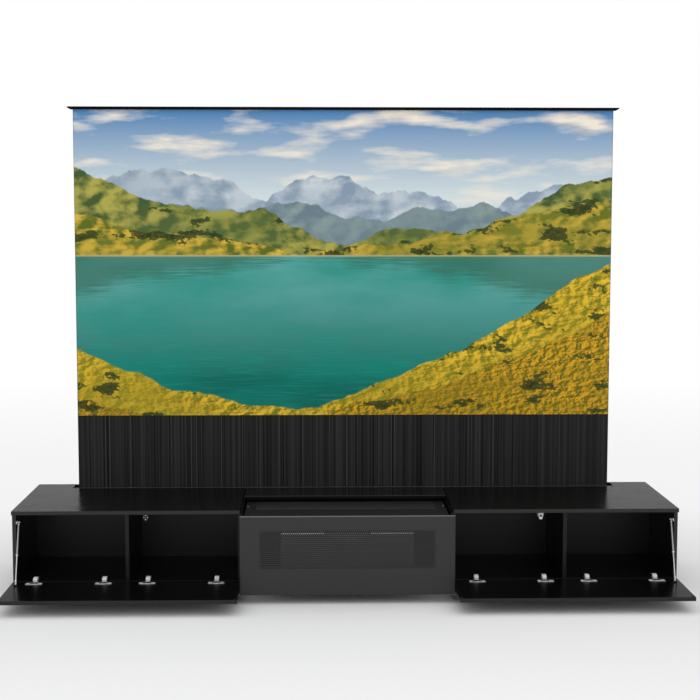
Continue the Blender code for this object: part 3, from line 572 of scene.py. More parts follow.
@dataclass(frozen=True)
class LakePicture(Finish):
    """Generic picture on the screen: a teal lake in a valley, with gold banks and far ranges.

    Attributes:
        far: Layers behind the lake.
        near: Layers in front of it.
        shore: Height of the far shore.
        hem: Breadth of the dark hem at each side, as a share of the sheet's width.
        clouds: Clouds across and up the sky.
        specular: Level of the fabric's highlights.
        relief: Depth of its grain.
    """

    far: tuple[Layer, ...] = (
        Layer(
            height=0.74, bank=0.10, middle=0.55, rise=0.34, waves=3.3, shift=3.0,
            lit=(206, 214, 220), shaded=(104, 130, 158), folds=(9.0, 7.0), haze=0.25,
        ),
        Layer(
            height=0.66, bank=0.22, middle=0.48, rise=0.22, waves=4.1, shift=9.0,
            lit=(122, 146, 140), shaded=(62, 92, 108), folds=(12.0, 9.0), haze=0.2,
        ),
        Layer(
            height=0.585, bank=0.62, middle=0.52, rise=0.16, waves=4.6, shift=21.0,
            lit=(176, 170, 78), shaded=(66, 92, 48), folds=(13.0, 10.0), woods=0.2,
        ),
        Layer(
            height=0.545, bank=0.42, middle=0.44, rise=0.11, waves=5.3, shift=33.0,
            lit=(222, 184, 66), shaded=(92, 108, 30), folds=(17.0, 15.0), woods=0.42,
        ),
    )
    near: tuple[Layer, ...] = (
        Layer(
            height=0.02, bank=0.95, middle=0.36, rise=0.09, waves=5.1, shift=57.0,
            lit=(238, 194, 52), shaded=(128, 124, 22), folds=(44.0, 40.0), woods=0.30,
        ),
        Layer(
            height=-0.04, bank=0.62, middle=0.30, rise=0.08, waves=6.7, shift=71.0,
            lit=(224, 168, 34), shaded=(100, 100, 16), folds=(70.0, 60.0), woods=0.22,
        ),
    )
    shore: float = 0.53
    hem: float = 0.00135
    clouds: Pair = (5.5, 13.0)
    specular: float = 0.2
    relief: float = 0.0001

    def shade(self, graph: Graph) -> None:
        """Draws the picture on the sheet's own UV map, then the fabric's grain.

        Args:
            graph: The empty tree.
        """
        across, level, _ = graph.parts(graph.add("TexCoord", {}).outputs["UV"])
        colour = self.sky(graph, level)
        for layer in self.far:
            colour = self.land(graph, colour, layer, across, level)
        colour = self.lake(graph, colour, across, level)
        for layer in self.near:
            colour = self.land(graph, colour, layer, across, level)
        edge = (0.5 - self.hem, 0.5 - 0.6 * self.hem)
        hem = graph.span(graph.apart(across, 0.5), edge, (0.0, 0.6))
        colour = graph.mix(hem, colour, Paint.HEM.linear)
        grain = graph.sheet_noise((1500.0, 900.0, 1.0), 2.0)
        rough = graph.spread(grain, self.roughness, 0.06, 0.06)
        normal = graph.bump(grain, self.relief, 0.3)
        graph.surface(colour, rough, {"Specular IOR Level": self.specular, "Normal": normal})

    def skyline(self, graph: Graph, layer: Layer, across: Feed) -> Socket:
        """Height of a layer's upper edge.

        Args:
            graph: The tree.
            layer: The layer.
            across: Place across the picture, 0 to 1.

        Returns:
            The height.
        """
        along = graph.sheet_noise((layer.waves, 0.0, 0.0), 7.0, (layer.shift, layer.shift, 0.0))
        roll = graph.span(along, (0.25, 0.75), (-layer.rise / 2, layer.rise / 2))
        climb = graph.calc("POWER", graph.apart(across, layer.middle), 1.5)
        climb = graph.calc("MULTIPLY", climb, layer.bank)
        return graph.calc("ADD", graph.calc("ADD", roll, climb), layer.height)

    def slopes(self, graph: Graph, layer: Layer) -> Socket:
        """Light on folded slopes: noise less the same noise a little further on.

        Args:
            graph: The tree.
            layer: The layer of the slopes.

        Returns:
            0 in shade to 1 in light.
        """
        scale = (*layer.folds, 1.0)
        here = graph.sheet_noise(scale, 8.0, (layer.shift, 0.0, 0.0))
        further = graph.sheet_noise(scale, 8.0, (layer.shift + 0.16, -0.10, 0.0))
        return graph.span(graph.calc("SUBTRACT", here, further), (-0.06, 0.07))

    def sky(self, graph: Graph, level: Feed) -> Socket:
        """Blue sky with broken cream clouds.

        Args:
            graph: The tree.
            level: Height in the picture, 0 to 1.

        Returns:
            The colour.
        """
        height = graph.span(level, (0.72, 1.0))
        colour = graph.mix(height, Paint.LOW_SKY.linear, Paint.HIGH_SKY.linear)
        cloud = graph.span(graph.sheet_noise((*self.clouds, 1.0), 7.0), (0.5, 0.66), (0.0, 0.95))
        colour = graph.mix(cloud, colour, Paint.CLOUD.linear)
        shadow = graph.noise(graph.place((*self.clouds, 2.0), "UV"), 1.02, 7.0)
        shadow = graph.span(shadow, (0.6, 0.8), (0.0, 0.5))
        return graph.mix(shadow, colour, Paint.CLOUD_SHADOW.linear)

    def land(self, graph: Graph, colour: Feed, layer: Layer, across: Feed, level: Feed) -> Socket:
        """Lays one layer of land over the colour.

        Args:
            graph: The tree.
            colour: What is drawn so far.
            layer: The layer.
            across, level: Place across and up the picture, 0 to 1.

        Returns:
            The colour with the layer on it.
        """
        under = graph.calc("SUBTRACT", self.skyline(graph, layer, across), level)
        light = self.slopes(graph, layer)
        tone = graph.mix(light, screen_colour(*layer.shaded), screen_colour(*layer.lit))
        patch = graph.sheet_noise((4.0, 6.0, 1.0), 3.0, (layer.shift, 0.0, 0.0))
        mean = tuple((lit + 2 * shaded) / 3 for lit, shaded in zip(layer.lit, layer.shaded))
        tone = graph.mix(graph.span(patch, (0.4, 0.65), (0.0, 0.65)), tone, screen_colour(*mean))
        # Trees stand in groves, with crowns that break up their edges.
        if layer.woods > 0.0:
            grove = graph.sheet_noise((11.0, 16.0, 1.0), 2.0, (layer.shift, 3.0, 0.0))
            crowns = graph.sheet_noise((120.0, 90.0, 1.0), 4.0)
            both = graph.calc("ADD", grove, graph.calc("MULTIPLY", crowns, 0.35))
            limit = 0.86 - 0.3 * layer.woods
            light = graph.span(crowns, (0.4, 0.6))
            leaf = graph.mix(light, Paint.LEAF_SHADOW.linear, Paint.LEAF.linear)
            tone = graph.mix(graph.span(both, (limit, limit + 0.03), (0.0, 0.92)), tone, leaf)
        tone = graph.mix(layer.haze, tone, Paint.HAZE.linear)
        return graph.mix(graph.span(under, (0.0, 0.004)), colour, tone)

    def lake(self, graph: Graph, colour: Feed, across: Feed, level: Feed) -> Socket:
        """Teal water, paler far off, with ripples and the hills' reflection.

        Args:
            graph: The tree.
            colour: What is drawn so far.
            across, level: Place across and up the picture, 0 to 1.

        Returns:
            The colour with the lake on it.
        """
        reach = graph.span(level, (0.12, self.shore))
        water = graph.mix(reach, Paint.NEAR_WATER.linear, Paint.FAR_WATER.linear)
        shoal = graph.sheet_noise((3.0, 5.0, 1.0), 4.0, (5.0, 0.0, 0.0))
        ripple = graph.sheet_noise((14.0, 190.0, 1.0), 6.0)
        # The last hills are mirrored about the far shore, and shaken by the ripples.
        depth = graph.calc("SUBTRACT", self.shore, level)
        rise = graph.calc("SUBTRACT", self.skyline(graph, self.far[-1], across), self.shore)
        shaken = graph.calc("ADD", rise, graph.span(ripple, MOST, (-0.03, 0.03)))
        mirrored = graph.calc("SUBTRACT", shaken, depth)
        for paint, value, source, target in (
            (Paint.SHOAL, shoal, (0.42, 0.66), (0.0, 0.7)),
            (Paint.RIPPLE, ripple, (0.5, 0.75), (0.0, 0.35)),
            (Paint.MIRRORED_HILL, mirrored, (-0.02, 0.03), (0.0, 0.6)),
            (Paint.SHORE_FOAM, depth, (0.0, 0.008), (0.8, 0.0)),
        ):
            water = graph.mix(graph.span(value, source, target), water, paint.linear)
        return graph.mix(graph.span(depth, (0.0, 0.002)), colour, water)


BOARD = Lacquer("satin_black_lacquer", "board", (0.0026, 0.0026, 0.0028), 0.26, specular=0.45)
# Lighter copy of the board's black lacquer, as painted light on the drawer's forward face.
FRONT = Lacquer("drawer_front_lacquer_painted_light", "board", (0.0060, 0.0060, 0.0062), 0.30, specular=0.55)
# Darker copy of the board's black lacquer, as painted shade on the open flaps' upward faces.
SHADED_FLAP_LACQUER = Lacquer("flap_lacquer_painted_shade", "board", (0.0018, 0.0018, 0.0019), 0.24, specular=0.40)
INNER = Lacquer("matte_inner_lacquer", "board", (0.0024, 0.0024, 0.0025), 0.35, specular=0.29)
COVER = Lacquer("drawer_cover_lacquer", "board", (0.013, 0.013, 0.0135), 0.40)
# Near-black lacquer with little specular, used as painted shade on the top glass's front edge.
EDGE_SHADE_LACQUER = Lacquer("matte_black_painted_shade", "board", (0.004, 0.004, 0.004), 0.75, specular=0.08)
BATTEN = Lacquer("black_batten_paint", "base", (0.008, 0.008, 0.008), 0.55)
TOP_GLASS = DarkGlass("smoked_top_glass", "smoked_glass", (0.008, 0.0085, 0.009), 0.07)
PANE = DarkGlass("projection_pane_glass", "smoked_glass", (0.026, 0.026, 0.027), 0.30)
LENS = DarkGlass("lens_glass", "smoked_glass", (0.004, 0.006, 0.012), 0.03)
NICKEL = Metal("bright_nickel", "nickel", (0.66, 0.65, 0.62), 0.24)
SATIN = Metal("satin_nickel_fittings", "nickel", (0.80, 0.80, 0.78), 0.40, metallic=0.4)
STAY_TUBE = Metal("dim_stay_tube", "nickel", (0.40, 0.40, 0.39), 0.42, metallic=0.6)
# The hinges' nickel made dark, as painted shade inside the cups sunk into the flaps.
SHADED_CUP_STEEL = Metal("cup_steel_painted_shade", "nickel", (0.09, 0.09, 0.09), 0.48)
ZINC = Metal("dull_zinc", "zinc", (0.50, 0.51, 0.53), 0.36, Brush.ALONG_Y)
ALUMINIUM = Metal("satin_aluminium", "aluminium", (0.52, 0.53, 0.54), 0.32, Brush.ALONG_Z)
TRIM = Metal("grey_anodised_trim", "aluminium", (0.20, 0.20, 0.21), 0.34, Brush.ALONG_X)
BLACK_METAL = Metal(
    "black_anodised", "black_aluminium", (0.02, 0.02, 0.021), 0.38, Brush.ALONG_X, metallic=0.75
)
BAR_METAL = Metal("matte_black_bar", "black_aluminium", (0.007, 0.007, 0.0074), 0.42, Brush.ALONG_X)
DARK_STEEL = Coat(
    "charcoal_powder_coat", "dark_steel", (0.032, 0.032, 0.034), 0.48, pebble=1100.0, depth=0.0001
)
GRILLE = Coat(
    "grille_powder_coat", "dark_steel", (0.0145, 0.0145, 0.0155), 0.5, pebble=1500.0, depth=0.00005
)
BLACK_PLASTIC = Coat("black_moulding", "black_plastic", (0.018, 0.018, 0.019), 0.46)
GREY_PLASTIC = Coat("grey_moulding", "grey_plastic", (0.075, 0.075, 0.078), 0.44)
PROJECTOR_COAT = Coat("projector_moulding", "grey_plastic", (0.15, 0.15, 0.155), 0.44)
PALE_PLASTIC = Coat(
    "pale_moulding", "white_plastic", (0.25, 0.25, 0.246), 0.4, pebble=700.0, depth=0.00006
)
WHITE_PLASTIC = Coat(
    "white_moulding", "white_plastic", (0.82, 0.82, 0.80), 0.4, pebble=700.0, depth=0.00006
)
RUBBER = Coat(
    "black_rubber", "black_plastic", (0.012, 0.012, 0.012), 0.72, pebble=600.0, depth=0.0001
)
SPEAKER_CLOTH = Coat(
    "speaker_cloth", "grey_plastic", (0.145, 0.145, 0.15), 0.85, pebble=1300.0, depth=0.0004
)
PICTURE = LakePicture("lake_picture", "screen_fabric", (0.28, 0.33, 0.36), 0.72)
SKIRT = Skirt("black_skirt_painted_fold_shade", "screen_fabric", (0.017, 0.017, 0.0175), 0.6)
BACKING = Backing("coated_screen_back", "screen_fabric", (0.022, 0.022, 0.024), 0.66)


def soften(shape: Shape, rounding: Arris | None, segments: int = 2) -> Shape:
    """Rounds all edges of a shape.

    Args:
        shape: The shape.
        rounding: The rounding, or None.
        segments: Steps of the rounding.

    Returns:
        The shape.
    """
    if rounding is not None:
        bmesh.ops.bevel(
            shape,
            geom=shape.edges[:],
            offset=rounding.value,
            offset_type="OFFSET",
            affect="EDGES",
            segments=segments,
            profile=0.5,
            material=-1,
            clamp_overlap=True,
        )
    return shape


def block(low: Point, high: Point, rounding: Arris, segments: int = 2) -> Shape:
    """Box between two corners, with its edges rounded.

    Args:
        low, high: Its lowest and highest corner.
        rounding: Rounding of its edges.
        segments: Steps of the rounding.

    Returns:
        The shape.
    """
    shape = bmesh.new()
    bmesh.ops.create_cube(shape, size=1.0)
    start, end = Vector(low), Vector(high)
    bmesh.ops.scale(shape, vec=end - start, verts=shape.verts)
    bmesh.ops.translate(shape, vec=(start + end) / 2, verts=shape.verts)
    return soften(shape, rounding, segments)


def turned(profile: Sequence[Point], centre: Point, axis: Axis | Point, steps: Facets) -> Shape:
    """Shape turned about an axis.

    Args:
        profile: Points as radius and distance along the axis.
        centre: Where distance 0 lies.
        axis: Direction of the axis.
        steps: Steps round the axis.

    Returns:
        The shape.
    """
    shape = bmesh.new()
    line = [shape.verts.new((radius, 0.0, along)) for radius, along in profile]
    line += [shape.edges.new(pair) for pair in zip(line, line[1:])]
    upright = Vector(Axis.Z.value)
    bmesh.ops.spin(
        shape, geom=line, cent=ORIGIN, axis=upright, angle=math.tau, steps=steps.value, use_merge=True
    )
    bmesh.ops.remove_doubles(shape, verts=shape.verts, dist=TINY)
    bmesh.ops.recalc_face_normals(shape, faces=shape.faces)
    # It is turned about Z, and then tipped onto its own axis.
    along = Vector(axis.value if isinstance(axis, Axis) else axis)
    turn = upright.rotation_difference(along).to_matrix()
    bmesh.ops.rotate(shape, cent=ORIGIN, matrix=turn, verts=shape.verts)
    bmesh.ops.translate(shape, vec=Vector(centre), verts=shape.verts)
    return shape


def screw(centre: Point, axis: Axis | Point, radius: float, rise: float = 0.0014) -> Shape:
    """Pan head of a screw with a driving recess.

    Args:
        centre: Point on the surface that it is driven into.
        axis: Direction that it faces.
        radius: Radius of the head.
        rise: Height of the head.

    Returns:
        The shape.
    """
    shares = ((0.0, 0.3), (0.22, 0.3), (0.4, 0.95), (0.62, 1.0), (0.9, 0.7), (1.0, 0.2))
    head = [(radius * across, rise * up) for across, up in shares]
    return turned([*head, (radius, -SKIN), (0.0, -SKIN)], centre, axis, Facets.SCREW)


def points_of(geometry: Iterable[object]) -> list[bmesh.types.BMVert]:
    """The points among the elements of a shape."""
    return [item for item in geometry if isinstance(item, bmesh.types.BMVert)]


def thickened(shape: Shape, reach: Point) -> Shape:
    """Draws a flat shape out along a vector into a solid.

    Args:
        shape: The flat shape.
        reach: The vector.

    Returns:
        The shape.
    """
    made = bmesh.ops.extrude_face_region(shape, geom=shape.faces[:], use_keep_orig=True)
    bmesh.ops.translate(shape, vec=Vector(reach), verts=points_of(made["geom"]))
    bmesh.ops.recalc_face_normals(shape, faces=shape.faces)
    return shape


def prism(outline: Iterable[Point], reach: Point, rounding: Arris | None = None) -> Shape:
    """Flat outline drawn out into a solid.

    Args:
        outline: Corner points in order.
        reach: Vector that it is drawn out along.
        rounding: Rounding of its edges.

    Returns:
        The shape.
    """
    shape = bmesh.new()
    shape.faces.new([shape.verts.new(point) for point in outline])
    return soften(thickened(shape, reach), rounding)


def strip(ends: Pair, line: Pair, section: Profile, rounding: Arris | None = None) -> Shape:
    """Section drawn out along X.

    Args:
        ends: Where it starts and ends.
        line: Depth and height of the line that it follows.
        section: Its corners, as depths and heights from that line.
        rounding: Rounding of its edges.

    Returns:
        The shape.
    """
    outline = [(ends[0], line[0] + depth, line[1] + height) for depth, height in section]
    return prism(outline, (ends[1] - ends[0], 0.0, 0.0), rounding)


def band(*outlines: Sequence[Point]) -> Shape:
    """Flat band between two closed outlines with as many points each.

    Args:
        outlines: Points of the rim and of the hole.

    Returns:
        The shape.
    """
    shape = bmesh.new()
    rims = []
    for outline in outlines:
        points = [shape.verts.new(point) for point in outline]
        rims += [shape.edges.new(pair) for pair in zip(points, points[1:] + points[:1])]
    bmesh.ops.bridge_loops(shape, edges=rims)
    return shape


def beside(centre: Point, facing: Axis, across: float, up: float) -> Triple:
    """Point beside another one, on a plane that faces along Y or Z."""
    x, y, z = centre
    return (x + across, y, z + up) if facing is Axis.Y else (x + across, y + up, z)


def even_turns(count: int, first: float = 0.0) -> list[float]:
    """Angles of even steps round a circle, the first of them after some share of a step."""
    return [math.tau * (number + first) / count for number in range(count)]


def circle(centre: Point, facing: Axis, radius: float, turns: Iterable[float]) -> list[Triple]:
    """Points of a circle at some angles."""
    return [beside(centre, facing, radius * math.cos(turn), radius * math.sin(turn)) for turn in turns]


def rounded(centre: Point, facing: Axis, width: float, height: float, radius: float) -> list[Triple]:
    """Points of a rectangle with rounded corners, in order round it.

    Args:
        centre: Its middle.
        facing: Axis that it faces along.
        width, height: Its size.
        radius: Radius of its corners.

    Returns:
        The points.
    """
    points = []
    steps = 5
    for corner, (across, up) in enumerate(((1, 1), (-1, 1), (-1, -1), (1, -1))):
        for step in range(steps + 1):
            turn = math.pi / 2 * (corner + step / steps)
            x = across * (width / 2 - radius) + radius * math.cos(turn)
            y = up * (height / 2 - radius) + radius * math.sin(turn)
            points.append(beside(centre, facing, x, y))
    return points


def ring(centre: Point, facing: Axis, outer: Triple, inner: Triple, reach: float) -> Shape:
    """Flat ring with rounded corners.

    Args:
        centre: Its middle, on the face that it stands on.
        facing: Axis that it faces along.
        outer, inner: Width, height and corner radius of its rim and of its hole.
        reach: Its thickness along the axis.

    Returns:
        The shape.
    """
    rims = [rounded(centre, facing, *size) for size in (outer, inner)]
    return thickened(band(*rims), Vector(facing.value) * reach)


def mesh_of(name: str, shape: Shape) -> bpy.types.Mesh:
    """Mesh of a shape, which is freed.

    Args:
        name: Name of the mesh.
        shape: The shape.

    Returns:
        The mesh.
    """
    data = bpy.data.meshes.new(name)
    shape.to_mesh(data)
    shape.free()
    return data


def linked(name: str, data: bpy.types.ID) -> bpy.types.Object:
    """New object in the scene, at the origin.

    Args:
        name: Name of the object.
        data: Its mesh or camera.

    Returns:
        The object.
    """
    made = bpy.data.objects.new(name, data)
    bpy.context.scene.collection.objects.link(made)
    return made


def finished(name: str, shape: Shape, *finishes: Finish) -> bpy.types.Object:
    """Object of a shape, smooth but for its sharp edges, in the slot of its first finish.

    Args:
        name: Name of the object.
        shape: The shape, which is freed.
        finishes: Its finishes.

    Returns:
        The object.
    """
    data = mesh_of(name, shape)
    data.shade_smooth()
    data.set_sharp_from_angle(angle=SHARP_ANGLE)
    for finish in finishes:
        data.materials.append(finish.material())
    made = linked(name, data)
    return made


def make(name: str, finish: Finish, body: str, *shapes: Shape) -> bpy.types.Object:
    """Joins shapes into one named piece that rides on a body.

    Args:
        name: Name of the piece.
        finish: Its finish.
        body: The body.
        shapes: The shapes, in the row frame, which are freed.

    Returns:
        The object.
    """
    whole = bmesh.new()
    for shape in shapes:
        held = mesh_of("held", shape)
        whole.from_mesh(held)
        bpy.data.meshes.remove(held)
    made = finished(name, whole, finish)
    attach(made, body)
    LOG.info("piece %s rides on %s, %d faces", name, body, len(made.data.polygons))
    return made


def dress(finish: Finish, *names: str) -> None:
    """Gives solids a finish.

    Args:
        finish: The finish.
        names: Names of the solids.
    """
    for name in names:
        data = NODES[name].data
        data.materials.clear()
        data.materials.append(finish.material())
        LOG.info("solid %s: %s", name, finish.name)


def centre_of(name: str) -> Vector:
    """Middle of a solid's box."""
    low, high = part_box(name)
    return (low + high) / 2


class SubAssembly:
    """Solids and pieces that belong together."""

    def dress(self) -> None:
        """Gives its solids their finishes, where it has any that still show."""

    def build(self) -> None:
        """Builds its pieces."""
        raise NotImplementedError


@dataclass
class Carcass(SubAssembly):
    """Boards, base runners, top glass, and the fittings at the back.

    Attributes:
        screw_columns: Screws along each long edge of the rear cover.
        screw_inset: Their distance from its edges.
        screw_radius: Radius of their heads.
        ports: Board of each cable port, and the port's place across.
        port: Width and height of a port.
        port_height: Height of its middle.
        ring_width: Width of the rings in the ports.
        ring_corners: Radii of a ring's outer and inner corners.
        ring_rise: How far the rings stand proud.
        slot_half: Half length of the screen slot.
        slot_gap: From the top glass to the front edge of the slot.
        trim: Section of the angle trim on that edge.
        shade_strip_depth: Thickness of the painted shade strip on the glass's front edge.
        shade_strip_inset: How far it stays from the glass's ends, underside and top.
        blades: Places of the mains inlet's blades from its middle, across and up.
        blade: Size of a blade.
        blade_root: How far inside the inlet a blade starts.
    """

    screw_columns: int = 9
    screw_inset: float = 0.014
    screw_radius: float = 0.0035
    ports: tuple[tuple[str, float], ...] = (("rear_cover", -0.300), ("well_board", -0.200))
    port: Pair = (0.090, 0.045)
    port_height: float = 0.1095
    ring_width: float = 0.006
    ring_corners: Pair = (0.006, 0.004)
    ring_rise: float = 0.0016
    slot_half: float = 1.1342
    slot_gap: float = 0.002
    trim: Profile = (
        (-0.0024, 0.0), (-0.0024, 0.0006), (0.0012, 0.0006),
        (0.0012, -0.007), (SKIN, -0.007), (SKIN, 0.0),
    )
    shade_strip_depth: float = 0.0006
    shade_strip_inset: Triple = (0.002, 0.0005, 0.0030)
    blades: Profile = ((-0.007, -0.002), (0.0, 0.002), (0.007, -0.002))
    blade: Triple = (0.002, 0.014, 0.004)
    blade_root: float = 0.018

    def dress(self) -> None:
        """Gives the boards, runners and glass their finishes."""
        dress(BOARD, "rear_cover")
        dress(INNER, "bottom_panel", "well_board")
        for side in Side:
            dress(BOARD, side.part("side_panel"), side.part("top_panel"))
            dress(INNER, side.part("divider"), side.part("partition"))
        dress(BATTEN, "front_runner", "rear_runner")
        dress(TOP_GLASS, "top_glass")
        dress(BLACK_PLASTIC, "power_inlet")

    def build(self) -> None:
        """Builds the rear screws, port rings, slot trim, painted shade strip on the glass's front edge
        and inlet blades.
        """
        self.rear_screws()
        self.port_rings()
        self.slot_trim()
        self.glass_edge_painted_shade()
        self.inlet()

    def rear_screws(self) -> None:
        """Screws along the upper and lower edges of the rear cover."""
        low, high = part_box("rear_cover")
        reach = high.x - low.x - 2 * self.screw_inset
        screws = []
        for height in (low.z + self.screw_inset, high.z - self.screw_inset):
            for column in range(self.screw_columns):
                across = low.x + self.screw_inset + reach * column / (self.screw_columns - 1)
                screws.append(screw((across, high.y, height), Axis.Y, self.screw_radius))
        make("rear_cover_screws", DARK_STEEL, CABINET, *screws)

    def port_rings(self) -> None:
        """Rings on both faces of the cable ports."""
        rims = [
            (*(side + widening for side in self.port), corner)
            for widening, corner in zip((self.ring_width, -self.ring_width), self.ring_corners)
        ]
        rings = []
        for name, across in self.ports:
            low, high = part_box(name)
            for level, reach in ((low.y, -self.ring_rise), (high.y, self.ring_rise)):
                rings.append(ring((across, level, self.port_height), Axis.Y, *rims, reach))
        make("cable_port_rings", RUBBER, CABINET, *rings)

    def slot_trim(self) -> None:
        """Angle trim along the front edge of the screen slot."""
        line = (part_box("top_glass")[1].y + self.slot_gap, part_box("left_top_panel")[1].z)
        make("slot_trim", TRIM, CABINET, strip((-self.slot_half, self.slot_half), line, self.trim))

    def glass_edge_painted_shade(self) -> None:
        """Matte black strip on the front edge of the top glass, under its polished arris, as painted
        shade there.
        """
        low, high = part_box("top_glass")
        aside, foot, top = self.shade_strip_inset
        start = (low.x + aside, low.y - self.shade_strip_depth, low.z + foot)
        shade_strip = block(start, (high.x - aside, low.y + SKIN, high.z - top), Arris.CRISP)
        make("glass_edge_painted_shade", EDGE_SHADE_LACQUER, CABINET, shade_strip)

    def inlet(self) -> None:
        """Three blades in the mains inlet."""
        middle, face = centre_of("power_inlet"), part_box("power_inlet")[1].y
        size = Vector(self.blade)
        pins = []
        for across, up in self.blades:
            x, z = middle.x + across - self.blade[0] / 2, middle.z + up - self.blade[2] / 2
            corner = Vector((x, face - self.blade_root, z))
            pins.append(block(corner, corner + size, Arris.PRESSED))
        make("inlet_pins", NICKEL, CABINET, *pins)


@dataclass
class FlapFittings(SubAssembly):
    """Hinges, bumpers and stay of one flap.

    Attributes:
        side: Side of the cabinet.
        hinges: Number of its hinges.
        board: Thickness of the flap.
        cup_inset: From the flap's hinged edge to the middle of a cup.
        cup_radius: Outer radius of a cup.
        cup_wall, cup_floor: Thickness of its wall and floor.
        cup_depth: Depth of its bore in the flap.
        cup_fillet: Fillet between its wall and floor.
        wing: Half length and half breadth of the cup's flange.
        lip: How far the flange reaches past the cup.
        flange: Thickness of the flange.
        flange_steps: Steps round the flange.
        tongue, tongue_half: Middle of the tongue in the cup, from the cup's middle, and half its size.
        cup_screw: From the middle of a cup to its screws, and the radius of their heads.
        bar_span: From the middle of a cup to the far and near edges of its retaining bar.
        bar_rise: Thickness of the bar.
        block_reach: From an arm's nose to the front and back of its block and the end of its cover.
        block_height: Height of the block.
        cover_heights: Heights of the cover at the block and at its end.
        block_side, cover_side: How far block and cover stand out beside the arm.
        bumper: Half section of a bumper.
        bumper_inset: From the flap's end and free edge to a bumper.
        stay_foot: Depth and height of the stay's lower pivot.
        stay_head: Depth and height of its upper pivot.
        collar, neck, pin, nut: Half sections of the stay's fittings.
        collar_place, neck_place: From the upper pivot down the stay to the collar and the neck.
        nut_place: From the lower pivot up the stay to the nut.
        plate: Thickness of the stay's bracket.
        plate_inset: From the bracket's ends to its screws.
        plate_screw: Radius and height of their heads.
    """

    side: Side
    hinges: int = 4
    board: float = 0.015
    cup_inset: float = 0.0205
    cup_radius: float = 0.0172
    cup_wall: float = 0.0008
    cup_floor: float = 0.0002
    cup_depth: float = 0.0111
    cup_fillet: float = 0.001
    wing: Pair = (0.031, 0.0060)
    lip: float = 0.0012
    flange: float = 0.0012
    flange_steps: int = 64
    tongue: Triple = (0.0, -0.0125, -0.005)
    tongue_half: Triple = (0.006, 0.0028, 0.0042)
    cup_screw: Pair = (0.0243, 0.0036)
    bar_span: Pair = (-0.0165, -0.0085)
    bar_rise: float = 0.0020
    block_reach: Triple = (0.0135, 0.0275, 0.0716)
    block_height: float = 0.0158
    cover_heights: Pair = (0.0146, 0.0070)
    block_side: float = 0.0003
    cover_side: float = 0.0006
    bumper: Profile = ((0.0, 0.0018), (0.0022, 0.0016), (0.0036, 0.0009), (0.004, -SKIN), (0.0, -SKIN))
    bumper_inset: Pair = (0.008, 0.012)
    stay_foot: Pair = (-0.199, 0.070)
    stay_head: Pair = (-0.119, 0.292)
    collar: Profile = (
        (0.0023, 0.0), (0.0034, 0.0), (0.0046, 0.0016), (0.0046, 0.0044),
        (0.0034, 0.006), (0.0023, 0.006), (0.0023, 0.0),
    )
    neck: Profile = ((0.0027, 0.0), (0.0036, 0.001), (0.0036, 0.004), (0.0027, 0.005), (0.0027, 0.0))
    pin: Profile = ((0.0, 0.0034), (0.0016, 0.0031), (0.0026, 0.0020), (0.0028, -SKIN), (0.0, -SKIN))
    nut: Profile = (
        (0.0023, 0.0), (0.0036, 0.0), (0.0036, 0.006), (0.0029, 0.008), (0.0023, 0.008), (0.0023, 0.0)
    )
    collar_place: float = 0.130
    neck_place: float = 0.012
    nut_place: float = 0.006
    plate: float = 0.0025
    plate_inset: float = 0.0038
    plate_screw: Pair = (0.0026, 0.0011)

    def own(self, rest: str) -> str:
        """Name of a solid, body or piece on this flap's side."""
        return self.side.part(rest)

    def arms(self) -> list[str]:
        """Names of the hinge arms."""
        return [self.own(f"hinge_arm_{number}") for number in range(1, self.hinges + 1)]

    def dress(self) -> None:
        """Gives the flap, hinge arms and stay their finishes."""
        # The flaps' lacquer is darkened as painted shade on their upward faces.
        dress(SHADED_FLAP_LACQUER, self.own("flap"))
        dress(SATIN, *self.arms(), self.own("stay_bracket"), self.own("stay_rod"))
        dress(STAY_TUBE, self.own("stay_cylinder"))

    def build(self) -> None:
        """Builds the cups, arm covers, bumpers and stay fittings."""
        self.cups()
        self.arm_covers()
        self.bumpers()
        self.stay_fittings()

    def flap_face(self) -> float:
        """Height of the open flap's inner face."""
        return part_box(self.own("flap"))[0].z + self.board

    def cups(self) -> None:
        """Pressed cups with winged flanges, let into the flap."""
        face, flap = self.flap_face(), self.own("flap")
        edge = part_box(flap)[1].y
        bore = self.cup_radius - self.cup_wall
        turns = even_turns(self.flange_steps)
        half, tongue_half = self.wing[0], Vector(self.tongue_half)
        bowls, wings, screws = [], [], []
        for name in self.arms():
            middle = Vector((centre_of(name).x, edge - self.cup_inset, face))
            rim = [self.flange_point(middle, turn) for turn in turns]
            hole = circle((middle.x, middle.y, face + SKIN), Axis.Z, bore, turns)
            wings.append(thickened(band(rim, hole), (0.0, 0.0, self.flange)))
            far, near = (middle.y + reach for reach in self.bar_span)
            start = (middle.x - half, far, face + SKIN)
            wings.append(block(start, (middle.x + half, near, face + self.bar_rise), Arris.FINE))
            bowls.append(turned(self.bowl(bore), middle, Axis.Z, Facets.CUP))
            tongue = middle + Vector(self.tongue)
            bowls.append(block(tongue - tongue_half, tongue + tongue_half, Arris.MOULDED))
            reach, radius = self.cup_screw
            for sign in SIGNS:
                spot = middle + Vector((sign * reach, 0.0, self.flange))
                screws.append(screw(spot, Axis.Z, radius))
        # The cups take the darkened nickel as painted shade in their bores.
        make(self.own("hinge_cups"), SHADED_CUP_STEEL, flap, *bowls)
        make(self.own("hinge_wings"), SATIN, flap, *wings)
        make(self.own("hinge_cup_screws"), SATIN, flap, *screws)

    def bowl(self, bore: float) -> list[Pair]:
        """Half section of a cup.

        Args:
            bore: Its inner radius.

        Returns:
            Its points, as radius and height over the flap's face.
        """
        foot = -self.cup_depth
        floor = foot + self.cup_floor
        rim = (bore, self.flange)
        wall = [(self.cup_radius, self.flange), (self.cup_radius, foot)]
        fillet = [(bore - self.cup_fillet, floor), (bore, floor + self.cup_fillet)]
        return [rim, *wall, (0.0, foot), (0.0, floor), *fillet, rim]

